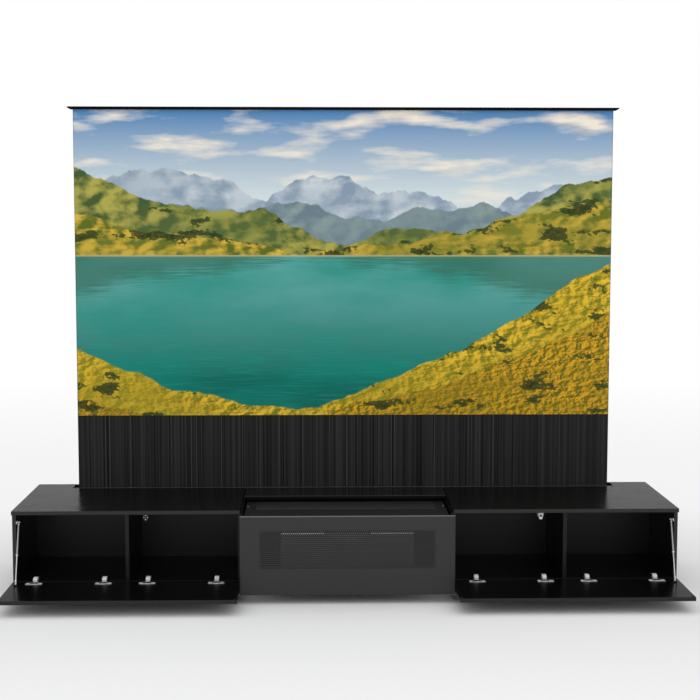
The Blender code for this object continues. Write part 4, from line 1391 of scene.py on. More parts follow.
    def flange_point(self, middle: Vector, turn: float) -> Triple:
        """Point of the winged flange's outline.

        Args:
            middle: Middle of the cup.
            turn: Angle round it.

        Returns:
            The point, on the flap's face.
        """
        across, along = abs(math.cos(turn)), abs(math.sin(turn))
        wing = min(self.wing[0] / max(across, TINY), self.wing[1] / max(along, TINY))
        reach = max(self.cup_radius + self.lip, wing)
        return (middle.x + reach * math.cos(turn), middle.y + reach * math.sin(turn), middle.z + SKIN)

    def arm_covers(self) -> None:
        """Bright upright blocks on the arms, and dark snap covers over their tails."""
        near, split, far = self.block_reach
        tall, low_end = self.cover_heights
        section = ((split, 0.0), (split, tall), (far, low_end), (far, 0.0))
        blocks, covers = [], []
        for low, high in map(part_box, self.arms()):
            start = (low.x - self.block_side, low.y + near, low.z - SKIN)
            end = (high.x + self.block_side, low.y + split, low.z + self.block_height)
            blocks.append(block(start, end, Arris.CAST))
            ends = (low.x - self.cover_side, high.x + self.cover_side)
            covers.append(strip(ends, (low.y, low.z), section, Arris.SOFT))
        make(self.own("hinge_blocks"), SATIN, CABINET, *blocks)
        make(self.own("hinge_tail_covers"), BLACK_PLASTIC, CABINET, *covers)

    def bumpers(self) -> None:
        """Soft dots in the free corners of the flap."""
        flap = self.own("flap")
        low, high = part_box(flap)
        aside, depth = self.bumper_inset
        spots = [(across, low.y + depth, self.flap_face()) for across in (low.x + aside, high.x - aside)]
        dots = [turned(self.bumper, spot, Axis.Z, Facets.DOT) for spot in spots]
        make(self.own("flap_bumpers"), RUBBER, flap, *dots)

    def stay_fittings(self) -> None:
        """Collar at the mouth of the damper, its neck and pin, the rod's nut, and bracket screws."""
        across = centre_of(self.own("stay_rod")).x
        lower = Vector((across, *self.stay_foot))
        upper = Vector((across, *self.stay_head))
        line = (upper - lower).normalized()
        inwards = (-self.side.value, 0.0, 0.0)
        cylinder, rod = self.own("stay_cylinder"), self.own("stay_rod")
        low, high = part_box(cylinder)
        inner = high.x if self.side is Side.LEFT else low.x
        collar = turned(self.collar, upper - line * self.collar_place, line, Facets.TUBE)
        neck = turned(self.neck, upper - line * self.neck_place, line, Facets.TUBE)
        pin = turned(self.pin, (inner, upper.y, upper.z), inwards, Facets.DOT)
        make(self.own("stay_collar"), SATIN, cylinder, collar, neck, pin)
        nut = turned(self.nut, lower + line * self.nut_place, line, Facets.HEXAGON)
        make(self.own("stay_rod_end"), SATIN, rod, nut)
        low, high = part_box(self.own("stay_bracket"))
        face = low.x + self.plate if self.side is Side.LEFT else high.x - self.plate
        depths = (low.y + self.plate_inset, high.y - self.plate_inset)
        screws = [screw((face, depth, upper.z), inwards, *self.plate_screw) for depth in depths]
        make(self.own("stay_bracket_screws"), ZINC, CABINET, *screws)


@dataclass
class Latches(SubAssembly):
    """Push latches under the top: a dark one with bright studs on the left, a white one on the right.

    Attributes:
        foot_share: Width of a body's foot as a share of its top.
        corner: Radius of the body's corners.
        bore: Radius of the hole round the plunger.
        stud_ring: Distance of the studs from the plunger.
        stud_count: Number of studs.
        stud: Half section of a stud.
        rib_count: Ribs along each flank of a body.
        rib_start, rib_pitch, rib_length: Place of the first rib, their pitch, and a rib's length.
        rib_drop: From the top of the body down to a rib's foot and top.
    """

    foot_share: float = 0.45
    corner: float = 0.003
    bore: float = 0.0048
    stud_ring: float = 0.0074
    stud_count: int = 4
    stud: Profile = ((0.0, 0.0009), (0.00126, 0.0007), (0.0021, 0.0), (0.0021, -0.002), (0.0, -0.002))
    rib_count: int = 5
    rib_start: float = 0.010
    rib_pitch: float = 0.008
    rib_length: float = 0.003
    rib_drop: Pair = (0.005, 0.001)

    def dress(self) -> None:
        """Gives bodies and plungers their finishes."""
        dress(BLACK_PLASTIC, "left_latch_body", "left_latch_plunger")
        dress(WHITE_PLASTIC, "right_latch_body")
        dress(GREY_PLASTIC, "right_latch_plunger")

    def build(self) -> None:
        """Builds the tapered bodies, and the studs of the left one."""
        self.body(Side.LEFT, BLACK_PLASTIC)
        self.body(Side.RIGHT, WHITE_PLASTIC)
        middle = centre_of("left_latch_plunger")
        centre = (middle.x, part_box("left_latch_body")[0].y, middle.z)
        spots = circle(centre, Axis.Y, self.stud_ring, even_turns(self.stud_count))
        studs = [turned(self.stud, spot, Axis.FRONT, Facets.DOT) for spot in spots]
        make("left_latch_studs", SATIN, CABINET, *studs)

    def body(self, side: Side, finish: Finish) -> None:
        """Body that narrows downwards, with ribs along its flanks, in place of its plain solid.

        Args:
            side: Side of the cabinet.
            finish: Finish of the body.
        """
        name = side.part("latch_body")
        low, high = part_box(name)
        middle, size = (low + high) / 2, high - low
        plunger = centre_of(side.part("latch_plunger"))
        rim = []
        for across, _, up in rounded(ORIGIN, Axis.Y, size.x, size.z, self.corner):
            share = 1.0 - (1.0 - self.foot_share) * (0.5 - up / size.z)
            rim.append((middle.x + across * share, low.y, middle.z + up))
        turns = even_turns(len(rim), 0.5)
        hole = circle((plunger.x, low.y, plunger.z), Axis.Y, self.bore, turns)
        shapes = [thickened(band(rim, hole), (0.0, size.y, 0.0))]
        foot, top = (high.z - drop for drop in self.rib_drop)
        for number in range(self.rib_count):
            start = low.y + self.rib_start + self.rib_pitch * number
            end = (high.x, start + self.rib_length, top)
            shapes.append(block((low.x, start, foot), end, Arris.PRESSED))
        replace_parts(make(side.part("latch_case"), finish, CABINET, *shapes), name)


@dataclass
class Grille(SubAssembly):
    """Perforated plate in the window of the drawer front, with its rim.

    Attributes:
        columns: Holes in a full row.
        rows: Rows of holes.
        hole_share: Diameter of a hole as a share of its cell.
        thickness: Thickness of the plate.
        rim: Width of the rim.
        rim_corners: Radii of the rim's outer and inner corners.
        rim_gap: How far the rim stays behind the front of the plate.
        merge: How close points of neighbouring cells are when they are joined.
    """

    columns: int = 88
    rows: int = 19
    hole_share: float = 0.66
    thickness: float = 0.0008
    rim: float = 0.0040
    rim_corners: Pair = (0.0008, 0.003)
    rim_gap: float = 0.0004
    merge: float = 1e-5

    def build(self) -> None:
        """Builds the plate in place of its plain solid, and the rim."""
        low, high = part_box("drawer_grille")
        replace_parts(make("perforated_grille", GRILLE, DRAWER, self.plate(low, high)), "drawer_grille")
        middle, size = (low + high) / 2, high - low
        outer, inner = (
            (size.x - 2 * inset, size.z - 2 * inset, corner)
            for inset, corner in zip((0.0, self.rim), self.rim_corners)
        )
        centre = (middle.x, high.y, middle.z)
        rim = ring(centre, Axis.Y, outer, inner, low.y - high.y + self.rim_gap)
        make("grille_rim", GRILLE, DRAWER, rim)

    def plate(self, low: Vector, high: Vector) -> Shape:
        """Plate with staggered round holes.

        Args:
            low, high: Lowest and highest corner of the solid that it stands for.

        Returns:
            The shape.
        """
        pitch = Vector(((high.x - low.x) / self.columns, 0.0, (high.z - low.z) / self.rows))
        aside, up = Vector((pitch.x, 0.0, 0.0)), Vector((0.0, 0.0, pitch.z))
        shape = self.cell(pitch)
        seed = shape.verts[:] + shape.edges[:] + shape.faces[:]
        # A row of each kind is laid first, and then copied up the plate.
        rows = [
            list(self.copies(shape, seed, self.columns - number, aside, aside * number / 2))
            for number in range(2)
        ]
        for number, row in enumerate(rows):
            list(self.copies(shape, row, (self.rows + 1 - number) // 2, up * 2, up * number))
        # What was copied isn't needed any more.
        for spent in (*rows, seed):
            bmesh.ops.delete(shape, geom=points_of(spent), context="VERTS")
        bmesh.ops.remove_doubles(shape, verts=shape.verts, dist=self.merge)
        corner = Vector((low.x + pitch.x / 2, low.y, low.z + pitch.z / 2))
        bmesh.ops.translate(shape, vec=corner, verts=shape.verts)
        return thickened(shape, (0.0, self.thickness, 0.0))

    def cell(self, pitch: Vector) -> Shape:
        """One cell of the plate: a square with a round hole, standing in the XZ plane.

        Args:
            pitch: Size of the cell.

        Returns:
            The shape.
        """
        corners = ((1, 0), (1, 1), (0, 1), (-1, 1), (-1, 0), (-1, -1), (0, -1), (1, -1))
        square = [(x * pitch.x / 2, 0.0, z * pitch.z / 2) for x, z in corners]
        radius = self.hole_share * min(pitch.x, pitch.z) / 2
        return band(square, circle(ORIGIN, Axis.Y, radius, even_turns(len(corners))))

    def copies(
        self, shape: Shape, geometry: list, count: int, step: Vector, start: Vector
    ) -> Iterator[object]:
        """Repeats part of a shape.

        Args:
            shape: The shape.
            geometry: The part to repeat.
            count: How many copies.
            step: From one copy to the next.
            start: Where the first one goes.

        Yields:
            The elements of the copies.
        """
        for number in range(count):
            made = bmesh.ops.duplicate(shape, geom=geometry)["geom"]
            bmesh.ops.translate(shape, vec=start + step * number, verts=points_of(made))
            yield from made


@dataclass
class Drawer(SubAssembly):
    """Drawer front, tray, slides, and cover with its projection pane.

    Attributes:
        pane_half: Half width of the pane.
        pane_depths: Its front and rear edges at rest.
        pane_rise: How far it stands proud of the cover.
        gasket: How much wider than the pane the gasket's rim and hole are, with their corner radii.
        gasket_rise: How far the gasket stands proud.
        dot_place: Width and depth of the two cover screws at rest.
        dot: Radius and height of their heads.
        edge_inset: From the front's ends to the ends of the strip along its top.
        edge_strip: Section of that strip, from the front's upper edge.
    """

    pane_half: float = 0.352
    pane_depths: Pair = (-0.006, 0.1335)
    pane_rise: float = 0.0022
    gasket: Profile = ((0.008, 0.004), (0.0004, 0.0008))
    gasket_rise: float = 0.0016
    dot_place: Pair = (0.3905, 0.052)
    dot: Pair = (0.0034, 0.0022)
    edge_inset: float = 0.001
    edge_strip: Profile = (
        (SKIN, -0.0030), (-0.0005, -0.0030), (-0.0005, 0.0005),
        (0.0040, 0.0005), (0.0040, -SKIN), (SKIN, -SKIN),
    )

    def dress(self) -> None:
        """Gives the drawer's solids their finishes."""
        # The drawer front's lacquer is lightened as painted light on its forward face.
        dress(FRONT, "drawer_front")
        dress(INNER, "drawer_tray")
        dress(COVER, "drawer_cover")
        for side in Side:
            dress(ZINC, side.part("slide_rail"), side.part("slide_runner"))

    def build(self) -> None:
        """Builds the pane, its gasket, the cover screws and the strip along the front."""
        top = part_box("drawer_cover")[1].z
        front, rear = self.pane_depths
        half = self.pane_half
        pane = block((-half, front, top - SKIN), (half, rear, top + self.pane_rise), Arris.POLISHED)
        make("projection_pane", PANE, DRAWER, pane)
        rims = [(2 * half + wider, rear - front + wider, corner) for wider, corner in self.gasket]
        gasket = ring((0.0, (front + rear) / 2, top), Axis.Z, *rims, self.gasket_rise)
        make("pane_gasket", RUBBER, DRAWER, gasket)
        across, depth = self.dot_place
        dots = [screw((sign * across, depth, top), Axis.Z, *self.dot) for sign in SIGNS]
        make("cover_screws", PALE_PLASTIC, DRAWER, *dots)
        low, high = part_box("drawer_front")
        ends = (low.x + self.edge_inset, high.x - self.edge_inset)
        make("drawer_front_strip", TRIM, DRAWER, strip(ends, (low.y, high.z), self.edge_strip))


@dataclass
class DrawerDrive(SubAssembly):
    """Rack, pinion and gear motor of the drawer, and the control box beside them.

    Attributes:
        shaft: Height of the motor's shaft.
        cap: Half section of the motor's end cap.
        tab_aside: From the shaft to the middle of each terminal.
        tab_half: Half width and half thickness of a terminal.
        tab_span: From the motor's end to the start and end of a terminal.
        lid_inset: From the control box's edges to its lid.
        lid_rise: Thickness of the lid.
        rib_count: Ribs on the lid.
        rib_start, rib_pitch, rib_width: Place of the first rib, from one to the next, and a rib's width.
        rib_inset: From the box's front and back to the ribs.
        rib_rise: From the box's top to a rib's foot and top.
        socket_count: Sockets in the box's front.
        socket_start, socket_pitch: Middle of the first socket, and from one to the next.
        socket, socket_hole: Width, height and corner radius of a socket's rim and hole.
        socket_reach: How far a socket stands out.
        screw_inset: From the box's edges to its screws.
        screw_radius: Radius of their heads.
    """

    shaft: float = 0.1027
    cap: Profile = (
        (0.0, 0.0), (0.0165, 0.0), (0.0165, 0.003), (0.006, 0.0045), (0.006, 0.007), (0.0, 0.007)
    )
    tab_aside: float = 0.009
    tab_half: Pair = (0.0025, 0.0004)
    tab_span: Pair = (0.002, 0.011)
    lid_inset: float = 0.003
    lid_rise: float = 0.0022
    rib_count: int = 6
    rib_start: float = 0.028
    rib_pitch: float = 0.016
    rib_width: float = 0.006
    rib_inset: float = 0.03
    rib_rise: Pair = (0.0015, 0.0034)
    socket_count: int = 4
    socket_start: float = 0.030
    socket_pitch: float = 0.029
    socket: Triple = (0.016, 0.012, 0.001)
    socket_hole: Triple = (0.012, 0.008, 0.0008)
    socket_reach: float = 0.004
    screw_inset: float = 0.008
    screw_radius: float = 0.003

    def dress(self) -> None:
        """Gives the drive and the control box their finishes."""
        dress(ZINC, "drawer_rack", "drive_pinion")
        dress(DARK_STEEL, "drawer_motor")
        dress(BLACK_PLASTIC, "control_box")

    def build(self) -> None:
        """Builds the fittings of the motor and of the control box."""
        self.motor()
        self.control()

    def motor(self) -> None:
        """End cap and terminals of the gear motor."""
        end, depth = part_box("drawer_motor")[1].x, centre_of("drawer_motor").y
        cap = turned(self.cap, (end, depth, self.shaft), Axis.X, Facets.TUBE)
        make("motor_end_cap", BLACK_PLASTIC, CABINET, cap)
        start, stop = (end + reach for reach in self.tab_span)
        wide, thick = self.tab_half
        tabs = []
        for sign in SIGNS:
            middle = depth + sign * self.tab_aside
            low = (start, middle - wide, self.shaft - thick)
            tabs.append(block(low, (stop, middle + wide, self.shaft + thick), Arris.CRISP))
        make("motor_terminals", NICKEL, CABINET, *tabs)

    def control(self) -> None:
        """Ribbed lid, sockets and screws of the control box."""
        low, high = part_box("control_box")
        inset, top = self.lid_inset, high.z + self.lid_rise
        start = (low.x + inset, low.y + inset, high.z - SKIN)
        lid = [block(start, (high.x - inset, high.y - inset, top), Arris.MOULDED)]
        front, back = low.y + self.rib_inset, high.y - self.rib_inset
        foot, crest = (high.z + rise for rise in self.rib_rise)
        for number in range(self.rib_count):
            across = low.x + self.rib_start + self.rib_pitch * number
            lid.append(block((across, front, foot), (across + self.rib_width, back, crest), Arris.FINE))
        make("control_lid", BLACK_PLASTIC, CABINET, *lid)
        sockets = []
        for number in range(self.socket_count):
            across = low.x + self.socket_start + self.socket_pitch * number
            centre = (across, low.y, (low.z + high.z) / 2)
            sockets.append(ring(centre, Axis.Y, self.socket, self.socket_hole, -self.socket_reach))
        make("control_sockets", GREY_PLASTIC, CABINET, *sockets)
        inset = self.screw_inset
        screws = [
            screw((across, depth, top), Axis.Z, self.screw_radius)
            for across in (low.x + inset, high.x - inset)
            for depth in (low.y + inset, high.y - inset)
        ]
        make("control_screws", ZINC, CABINET, *screws)


@dataclass
class Projector(SubAssembly):
    """Short-throw projector in the drawer.

    Attributes:
        highlight_reach: Inner and outer ends of the white strips along its upper front edge, which are
            painted highlights.
        highlight_span: How far they reach out towards the grille, and back over the shell.
        highlight_rise: From the shell's top down to a strip's foot, and up to its top.
        cloth_half: Half width of the cloth on its front.
        cloth_rise: Thickness of the cloth.
        cloth_inset: From the shell's foot and top to the cloth.
        dish: Width and depth of its dish.
        dish_light_gap: Gap round the pale panel in the mouth of the dish, which is painted light.
        dish_light_depth: Thickness of that panel.
        dish_light_steps: Steps in each half of its round edge.
        lens_back: From the shell's back to the middle of the lens.
        hood, hood_hole: Width, depth and corner radius of the lens hood and of its hole.
        hood_rise: Height of the hood.
        window: Width, depth and corner radius of the lens window.
        window_span: From the floor of the dish to the window's foot, and its thickness.
        vent_count: Slats in each side vent.
        vent_inset: From the shell's front and back to the vents.
        vent_edge: From the shell's foot and top to the vents.
        slat_share: Width of a slat as a share of its pitch.
        slat_rise: How far the slats stand out.
    """

    highlight_reach: Pair = (0.089, 0.252)
    highlight_span: Pair = (0.0270, 0.007)
    highlight_rise: Pair = (0.0012, 0.0032)
    cloth_half: float = 0.235
    cloth_rise: float = 0.0022
    cloth_inset: Pair = (0.014, 0.044)
    dish: Pair = (0.174, 0.034)
    dish_light_gap: float = 0.0004
    dish_light_depth: float = 0.003
    dish_light_steps: int = 12
    lens_back: float = 0.060
    hood: Triple = (0.110, 0.072, 0.012)
    hood_hole: Triple = (0.084, 0.048, 0.010)
    hood_rise: float = 0.008
    window: Triple = (0.086, 0.050, 0.010)
    window_span: Pair = (0.001, 0.004)
    vent_count: int = 14
    vent_inset: float = 0.04
    vent_edge: float = 0.03
    slat_share: float = 0.45
    slat_rise: float = 0.0022

    def dress(self) -> None:
        """Gives the shell its finish."""
        dress(PROJECTOR_COAT, "projector_shell")

    def build(self) -> None:
        """Builds the painted highlight strips, front cloth, pale painted-light panel in the dish, lens
        and vents.
        """
        low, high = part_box("projector_shell")
        self.front(low, high)
        self.dish_light_panel(low.y, high.z)
        self.lens(high)
        self.vents(low, high)

    def front(self, low: Vector, high: Vector) -> None:
        """White strips along the upper front edge, either side of the dish, as painted highlights, and
        cloth on the front.

        Args:
            low, high: Lowest and highest corner of the shell.
        """
        ahead, back = self.highlight_span
        foot, top = self.highlight_rise
        # The white strips are painted highlights on the shell's upper front edge.
        strips = []
        for sign in SIGNS:
            ends = sorted(sign * reach for reach in self.highlight_reach)
            start = (ends[0], low.y - ahead, high.z - foot)
            strips.append(block(start, (ends[1], low.y + back, high.z + top), Arris.SOFT))
        make("projector_painted_highlights", WHITE_PLASTIC, DRAWER, *strips)
        half = self.cloth_half
        foot, top = self.cloth_inset
        start = (-half, low.y - self.cloth_rise, low.z + foot)
        cloth = block(start, (half, low.y + SKIN, high.z - top), Arris.PADDED, 3)
        make("projector_front_cloth", SPEAKER_CLOTH, DRAWER, cloth)

    def dish_light_panel(self, face: float, top: float) -> None:
        """Pale panel that closes the mouth of the dish, under its arc, as painted light for the dish's
        lit inside.

        Args:
            face: Depth of the shell's front.
            top: Height of its top.
        """
        half, depth = self.dish[0] / 2, self.dish[1]
        # The arc goes through the dish's two upper corners and its lowest point.
        radius = (half**2 + depth**2) / (2 * depth)
        centre = top - depth + radius
        reach = math.asin(half / radius) - self.dish_light_gap / radius
        turns = [reach * (step / self.dish_light_steps - 1) for step in range(2 * self.dish_light_steps + 1)]
        edge = radius - self.dish_light_gap
        outline = [(edge * math.sin(turn), face, centre - edge * math.cos(turn)) for turn in turns]
        # The pale panel is painted light: it stands for the inside of the dish lit from above.
        dish_light_panel = prism(outline, (0.0, self.dish_light_depth, 0.0))
        make("projector_dish_painted_light", PALE_PLASTIC, DRAWER, dish_light_panel)

    def lens(self, high: Vector) -> None:
        """Lens hood and mirror window at the back of the dish.

        Args:
            high: Highest corner of the shell.
        """
        middle = (0.0, high.y - self.lens_back, high.z - self.dish[1])
        hood = ring(middle, Axis.Z, self.hood, self.hood_hole, self.hood_rise)
        make("projector_lens_hood", BLACK_PLASTIC, DRAWER, hood)
        rise, thick = self.window_span
        outline = rounded((*middle[:2], middle[2] + rise), Axis.Z, *self.window)
        window = prism(outline, (0.0, 0.0, thick), Arris.SOFT)
        make("projector_lens_window", LENS, DRAWER, window)

    def vents(self, low: Vector, high: Vector) -> None:
        """Slats on both ends of the shell.

        Args:
            low, high: Lowest and highest corner of the shell.
        """
        pitch = (high.y - low.y - 2 * self.vent_inset) / self.vent_count
        foot, top = low.z + self.vent_edge, high.z - self.vent_edge
        slats = []
        for face, sign in ((low.x, -1), (high.x, 1)):
            ends = sorted((face - sign * SKIN, face + sign * self.slat_rise))
            for number in range(self.vent_count):
                start = low.y + self.vent_inset + pitch * number
                end = (ends[1], start + pitch * self.slat_share, top)
                slats.append(block((ends[0], start, foot), end, Arris.SOFT))
        make("projector_vent_slats", BLACK_PLASTIC, DRAWER, *slats)


@dataclass
class RisingScreen(SubAssembly):
    """Screen sheet, its top bar, roller and folding arms.

    Attributes:
        picture_foot: Height of the lower edge of the picture at rest.
        columns: Steps of the sheet across.
        skirt_rows: Steps of the skirt.
        picture_rows: Steps of the picture.
        thickness: Thickness of the fabric.
        travel: How far the bar comes down; not used.
        waves: Length and depth of the skirt's upright folds.
        ahead: Faces whose normal's Y is under this look forwards.
        cap_length, cap_height: Length and height of the caps on the bar's ends.
        cap_inset: How far their sides lie within the bar's.
        pivots: Arm of each pivot bolt, and its place across, its height and the depth of its face.
        washer, bolt: Half sections of a pivot's washer and bolt head.
    """

    picture_foot: float = 0.643
    columns: int = 360
    skirt_rows: int = 12
    picture_rows: int = 16
    thickness: float = 0.0008
    travel: float = 1.576
    waves: Profile = ((0.0137, 0.00018), (0.0213, 0.00024), (0.0371, 0.0003), (0.0910, 0.0004))
    ahead: float = -0.5
    cap_length: float = 0.0022
    cap_height: float = 0.0048
    cap_inset: float = 0.0005
    pivots: tuple[tuple[str, float, float, float], ...] = (
        ("lower_arm", 0.160, 0.172, 0.3730),
        ("upper_arm", 0.53734, 1.022, 0.3950),
        ("upper_arm", 0.160, 1.872, 0.3950),
    )
    washer: Profile = (
        (0.0062, -SKIN), (0.0125, -SKIN), (0.0125, 0.0012), (0.0062, 0.0012), (0.0062, -SKIN)
    )
    bolt: Profile = ((0.0, 0.0), (0.0092, 0.0), (0.0092, 0.0034), (0.0078, 0.0042), (0.0, 0.0042))

    def dress(self) -> None:
        """Gives the bar, roller, brackets and arms their finishes."""
        dress(BAR_METAL, "screen_bar")
        dress(BLACK_METAL, "roller_motor")
        dress(ALUMINIUM, "screen_roller")
        for side in Side:
            dress(DARK_STEEL, side.part("roller_bracket"), side.part("lift_bracket"))
            dress(ALUMINIUM, side.part("lower_arm"), side.part("upper_arm"))

    def build(self) -> None:
        """Builds the sheet, the ends of the bar and the bolts of the arms."""
        self.sheet()
        self.bar_ends()
        self.bolts()

    def sheet(self) -> None:
        """Stretched fabric: picture and skirt in front, coated back behind."""
        low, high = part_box("screen_sheet")
        rows = self.skirt_rows + self.picture_rows
        shape = bmesh.new()
        bmesh.ops.create_grid(shape, x_segments=self.columns, y_segments=rows, size=0.5)
        upright = Matrix.Rotation(math.pi / 2, 3, "X")
        bmesh.ops.rotate(shape, cent=ORIGIN, matrix=upright, verts=shape.verts)
        # Each point of the upright grid goes to its place on the sheet.
        for point in shape.verts:
            across = point.co.x * (high.x - low.x)
            height = self.row_height((point.co.z + 0.5) * rows, low.z, high.z)
            point.co = Vector((across, low.y + self.fold(across, height, low.z), height))
        thickened(shape, (0.0, self.thickness, 0.0))
        self.map_picture(shape, low, high)
        fabric = finished("screen_fabric", shape, PICTURE, SKIRT, BACKING)
        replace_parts(fabric, "screen_sheet")
        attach(fabric, CABINET)
        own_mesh(fabric)
        LOG.info("sheet %s, %d faces", fabric.name, len(fabric.data.polygons))

    def row_height(self, row: float, foot: float, top: float) -> float:
        """Height of a row of the sheet, with a row on the picture's lower edge.

        Args:
            row: Number of the row.
            foot, top: Lower and upper edge of the sheet.

        Returns:
            The height.
        """
        if row <= self.skirt_rows:
            return foot + (self.picture_foot - foot) * row / self.skirt_rows
        share = (row - self.skirt_rows) / self.picture_rows
        return self.picture_foot + (top - self.picture_foot) * share

    def fold(self, across: float, height: float, foot: float) -> float:
        """Depth of the skirt's upright folds, none at the roller and under the picture.

        Args:
            across: Place across the sheet.
            height: Height of the point.
            foot: Lower edge of the sheet.

        Returns:
            The offset, from 0 forwards.
        """
        share = (height - foot) / (self.picture_foot - foot)
        if not 0.0 < share < 1.0:
            return 0.0
        depth = sum(
            size * math.sin(math.tau * across / length + number)
            for number, (length, size) in enumerate(self.waves)
        )
        return depth * math.sin(math.pi * share) ** 0.5

    def map_picture(self, shape: Shape, low: Vector, high: Vector) -> None:
        """Maps the sheet and picks the finish of each face.

        Args:
            shape: The sheet.
            low, high: Lowest and highest corner of its solid.
        """
        layer = shape.loops.layers.uv.new("sheet")
        rise = high.z - self.picture_foot
        for face in shape.faces:
            for loop in face.loops:
                place = loop.vert.co
                across = (place.x - low.x) / (high.x - low.x)
                loop[layer].uv = (across, (place.z - self.picture_foot) / rise)
            if face.normal.y > self.ahead:
                cover = Fabric.BACK
            elif face.calc_center_median().z > self.picture_foot:
                cover = Fabric.PICTURE
            else:
                cover = Fabric.SKIRT
            face.material_index = cover.value

    def bar_ends(self) -> None:
        """Moulded caps on the ends of the top bar."""
        low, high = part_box("screen_bar")
        caps = []
        for sign, end in ((-1, low.x), (1, high.x)):
            ends = sorted((end - sign * SKIN, end + sign * self.cap_length))
            start = (ends[0], low.y + self.cap_inset, high.z - self.cap_height)
            caps.append(block(start, (ends[1], high.y - self.cap_inset, high.z - SKIN), Arris.SOFT))
        make("bar_end_caps", BLACK_PLASTIC, SCREEN_BAR, *caps)

    def bolts(self) -> None:
        """Bolt heads and washers on the pivots of the arms, seen from behind."""
        for side in Side:
            for number, (arm, across, height, face) in enumerate(self.pivots):
                place = (side.value * across, face, height)
                washer = turned(self.washer, place, Axis.Y, Facets.WASHER)
                bolt = turned(self.bolt, place, Axis.Y, Facets.HEXAGON)
                make(side.part(f"pivot_bolt_{number + 1}"), ZINC, side.part(arm), washer, bolt)


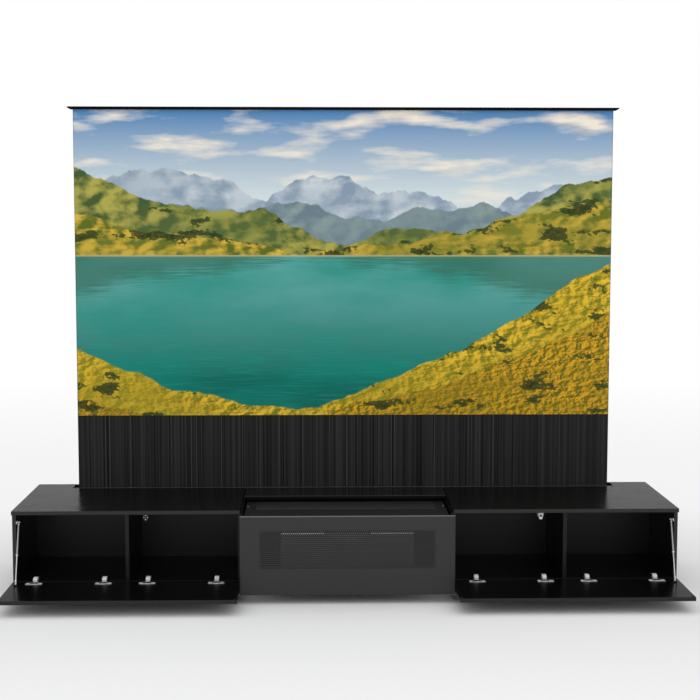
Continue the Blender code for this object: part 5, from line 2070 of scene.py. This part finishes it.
@dataclass
class Studio:
    """Floor, light, background and camera.

    Attributes:
        eye: Place of the camera.
        pitch, yaw, roll: Its turns in degrees.
        lens, sensor: Its focal length and the width of its sensor in millimetres.
        sight: How far it sees.
        dim_back, dim_edge, dim_top: Where the surroundings dim behind the object: from how far back,
            from what height and up to what height, as parts of a direction.
        dim_level: Their light there.
        floor_radius: Radius of the floor.
        floor_steps: Steps round its edge.
        floor_drop: How far it lies under the object.
        floor_tones: Colours of its specks.
        floor_specks: Scale of the specks.
        footprint: Half width and half depth of the object on the floor.
        floor_fade: Stretches of distance from the footprint over which the floor turns white.
        floor_share: How much of it turns white over each stretch.
    """

    eye: Triple = (-0.126, -5.559, 1.451)
    pitch: float = -5.182
    yaw: float = -1.454
    roll: float = -0.036
    lens: float = 73.17
    sensor: float = 36.0
    sight: float = 200.0
    dim_back: Pair = (0.1, 0.5)
    dim_edge: Pair = (0.155, 0.18)
    dim_top: Pair = (0.6, 0.9)
    dim_level: float = 0.175
    floor_radius: float = 30.0
    floor_steps: int = 96
    floor_drop: float = 0.0005
    floor_tones: tuple[Triple, Triple] = ((0.94, 0.94, 0.945), (0.965, 0.965, 0.965))
    floor_specks: float = 60.0
    footprint: Pair = (1.29, 0.42)
    floor_fade: Profile = ((0.0, 1.2), (3.0, 7.0))
    floor_share: Pair = (0.6, 0.4)

    def build(self) -> None:
        """Builds the camera, surroundings and floor."""
        bpy.context.scene.view_settings.view_transform = "Standard"
        self.camera()
        self.world()
        self.floor()

    def camera(self) -> None:
        """Camera at the photograph's viewing angle."""
        data = bpy.data.cameras.new("camera")
        data.sensor_width = self.sensor
        data.lens = self.lens
        data.clip_end = self.sight
        made = linked("camera", data)
        turn = Matrix.Identity(4)
        for degrees, axis in ((self.yaw, "Z"), (self.pitch, "X"), (self.roll, "Y"), (90.0, "X")):
            turn = turn @ Matrix.Rotation(math.radians(degrees), 4, axis)
        made.matrix_world = Matrix.Translation(self.eye) @ turn
        bpy.context.scene.camera = made

    def world(self) -> None:
        """White surroundings, dimmer high up behind the object, above what the camera sees."""
        graph = Graph(bpy.data.worlds.new("studio"))
        _, depth, height = graph.parts(graph.add("TexCoord", {}).outputs["Generated"])
        behind, above = graph.span(depth, self.dim_back), graph.span(height, self.dim_edge)
        below = graph.span(height, self.dim_top, (1.0, 0.0))
        share = graph.calc("MULTIPLY", graph.calc("MULTIPLY", behind, above), below)
        level = graph.span(share, UNIT, (1.0, self.dim_level))
        dome = graph.add("Background", {"Color": ONES, "Strength": level})
        graph.add("OutputWorld", {"Surface": dome.outputs[0]})
        bpy.context.scene.world = graph.owner

    def footprint_distance(self, graph: Graph, place: Feed) -> Socket:
        """Distance of a place on the floor from the object's footprint.

        Args:
            graph: The tree.
            place: The place.

        Returns:
            The distance, 0 inside.
        """
        squares = []
        for part, half in zip(graph.parts(place), self.footprint):
            aside = graph.calc("SUBTRACT", graph.calc("ABSOLUTE", part), half)
            beyond = graph.calc("MAXIMUM", aside, 0.0)
            squares.append(graph.calc("MULTIPLY", beyond, beyond))
        return graph.calc("POWER", graph.calc("ADD", *squares), 0.5)

    def floor(self) -> None:
        """Pale floor that keeps the object's shadow and turns white far off."""
        shape = bmesh.new()
        bmesh.ops.create_circle(
            shape, cap_ends=True, segments=self.floor_steps, radius=self.floor_radius
        )
        bmesh.ops.translate(shape, vec=(0.0, 0.0, -self.floor_drop), verts=shape.verts)
        data = mesh_of("floor", shape)
        data.materials.append(self.floor_material())
        linked("floor", data)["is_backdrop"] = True

    def floor_material(self) -> bpy.types.Material:
        """Pale specked floor near the object, and plain white far from it.

        Returns:
            The material.
        """
        graph = Graph(bpy.data.materials.new("pale_floor"))
        place = graph.place()
        far = self.footprint_distance(graph, place)
        tone = graph.mix(graph.span(graph.noise(place, self.floor_specks)), *self.floor_tones)
        near = graph.add("BsdfDiffuse", {"Color": tone}).outputs[0]
        white = graph.add("Emission", {"Color": ONES, "Strength": 1.0}).outputs[0]
        shares = [
            graph.span(far, stretch, (0.0, share))
            for stretch, share in zip(self.floor_fade, self.floor_share)
        ]
        both = graph.add("MixShader", {0: graph.calc("ADD", *shares), 1: near, 2: white})
        graph.add("OutputMaterial", {"Surface": both.outputs[0]})
        return graph.owner


def write_sizes() -> None:
    """Gathers the boxes of the solids and of the dressed model."""
    boxes = {"cad": CAD_BOX, "visual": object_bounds()}
    lists = {name: [list(corner) for corner in box] for name, box in boxes.items()}


def main() -> None:
    """Builds the studio and every sub-assembly in order."""
    logging.basicConfig(level=logging.INFO, format="%(name)s: %(message)s")
    Studio().build()
    assemblies: list[SubAssembly] = [
        Carcass(),
        FlapFittings(Side.LEFT),
        FlapFittings(Side.RIGHT),
        Latches(),
        Drawer(),
        DrawerDrive(),
        Projector(),
        RisingScreen(),
        Grille(),
    ]
    for assembly in assemblies:
        assembly.dress()
        assembly.build()
    write_sizes()


if __name__ == "__main__":
    main()
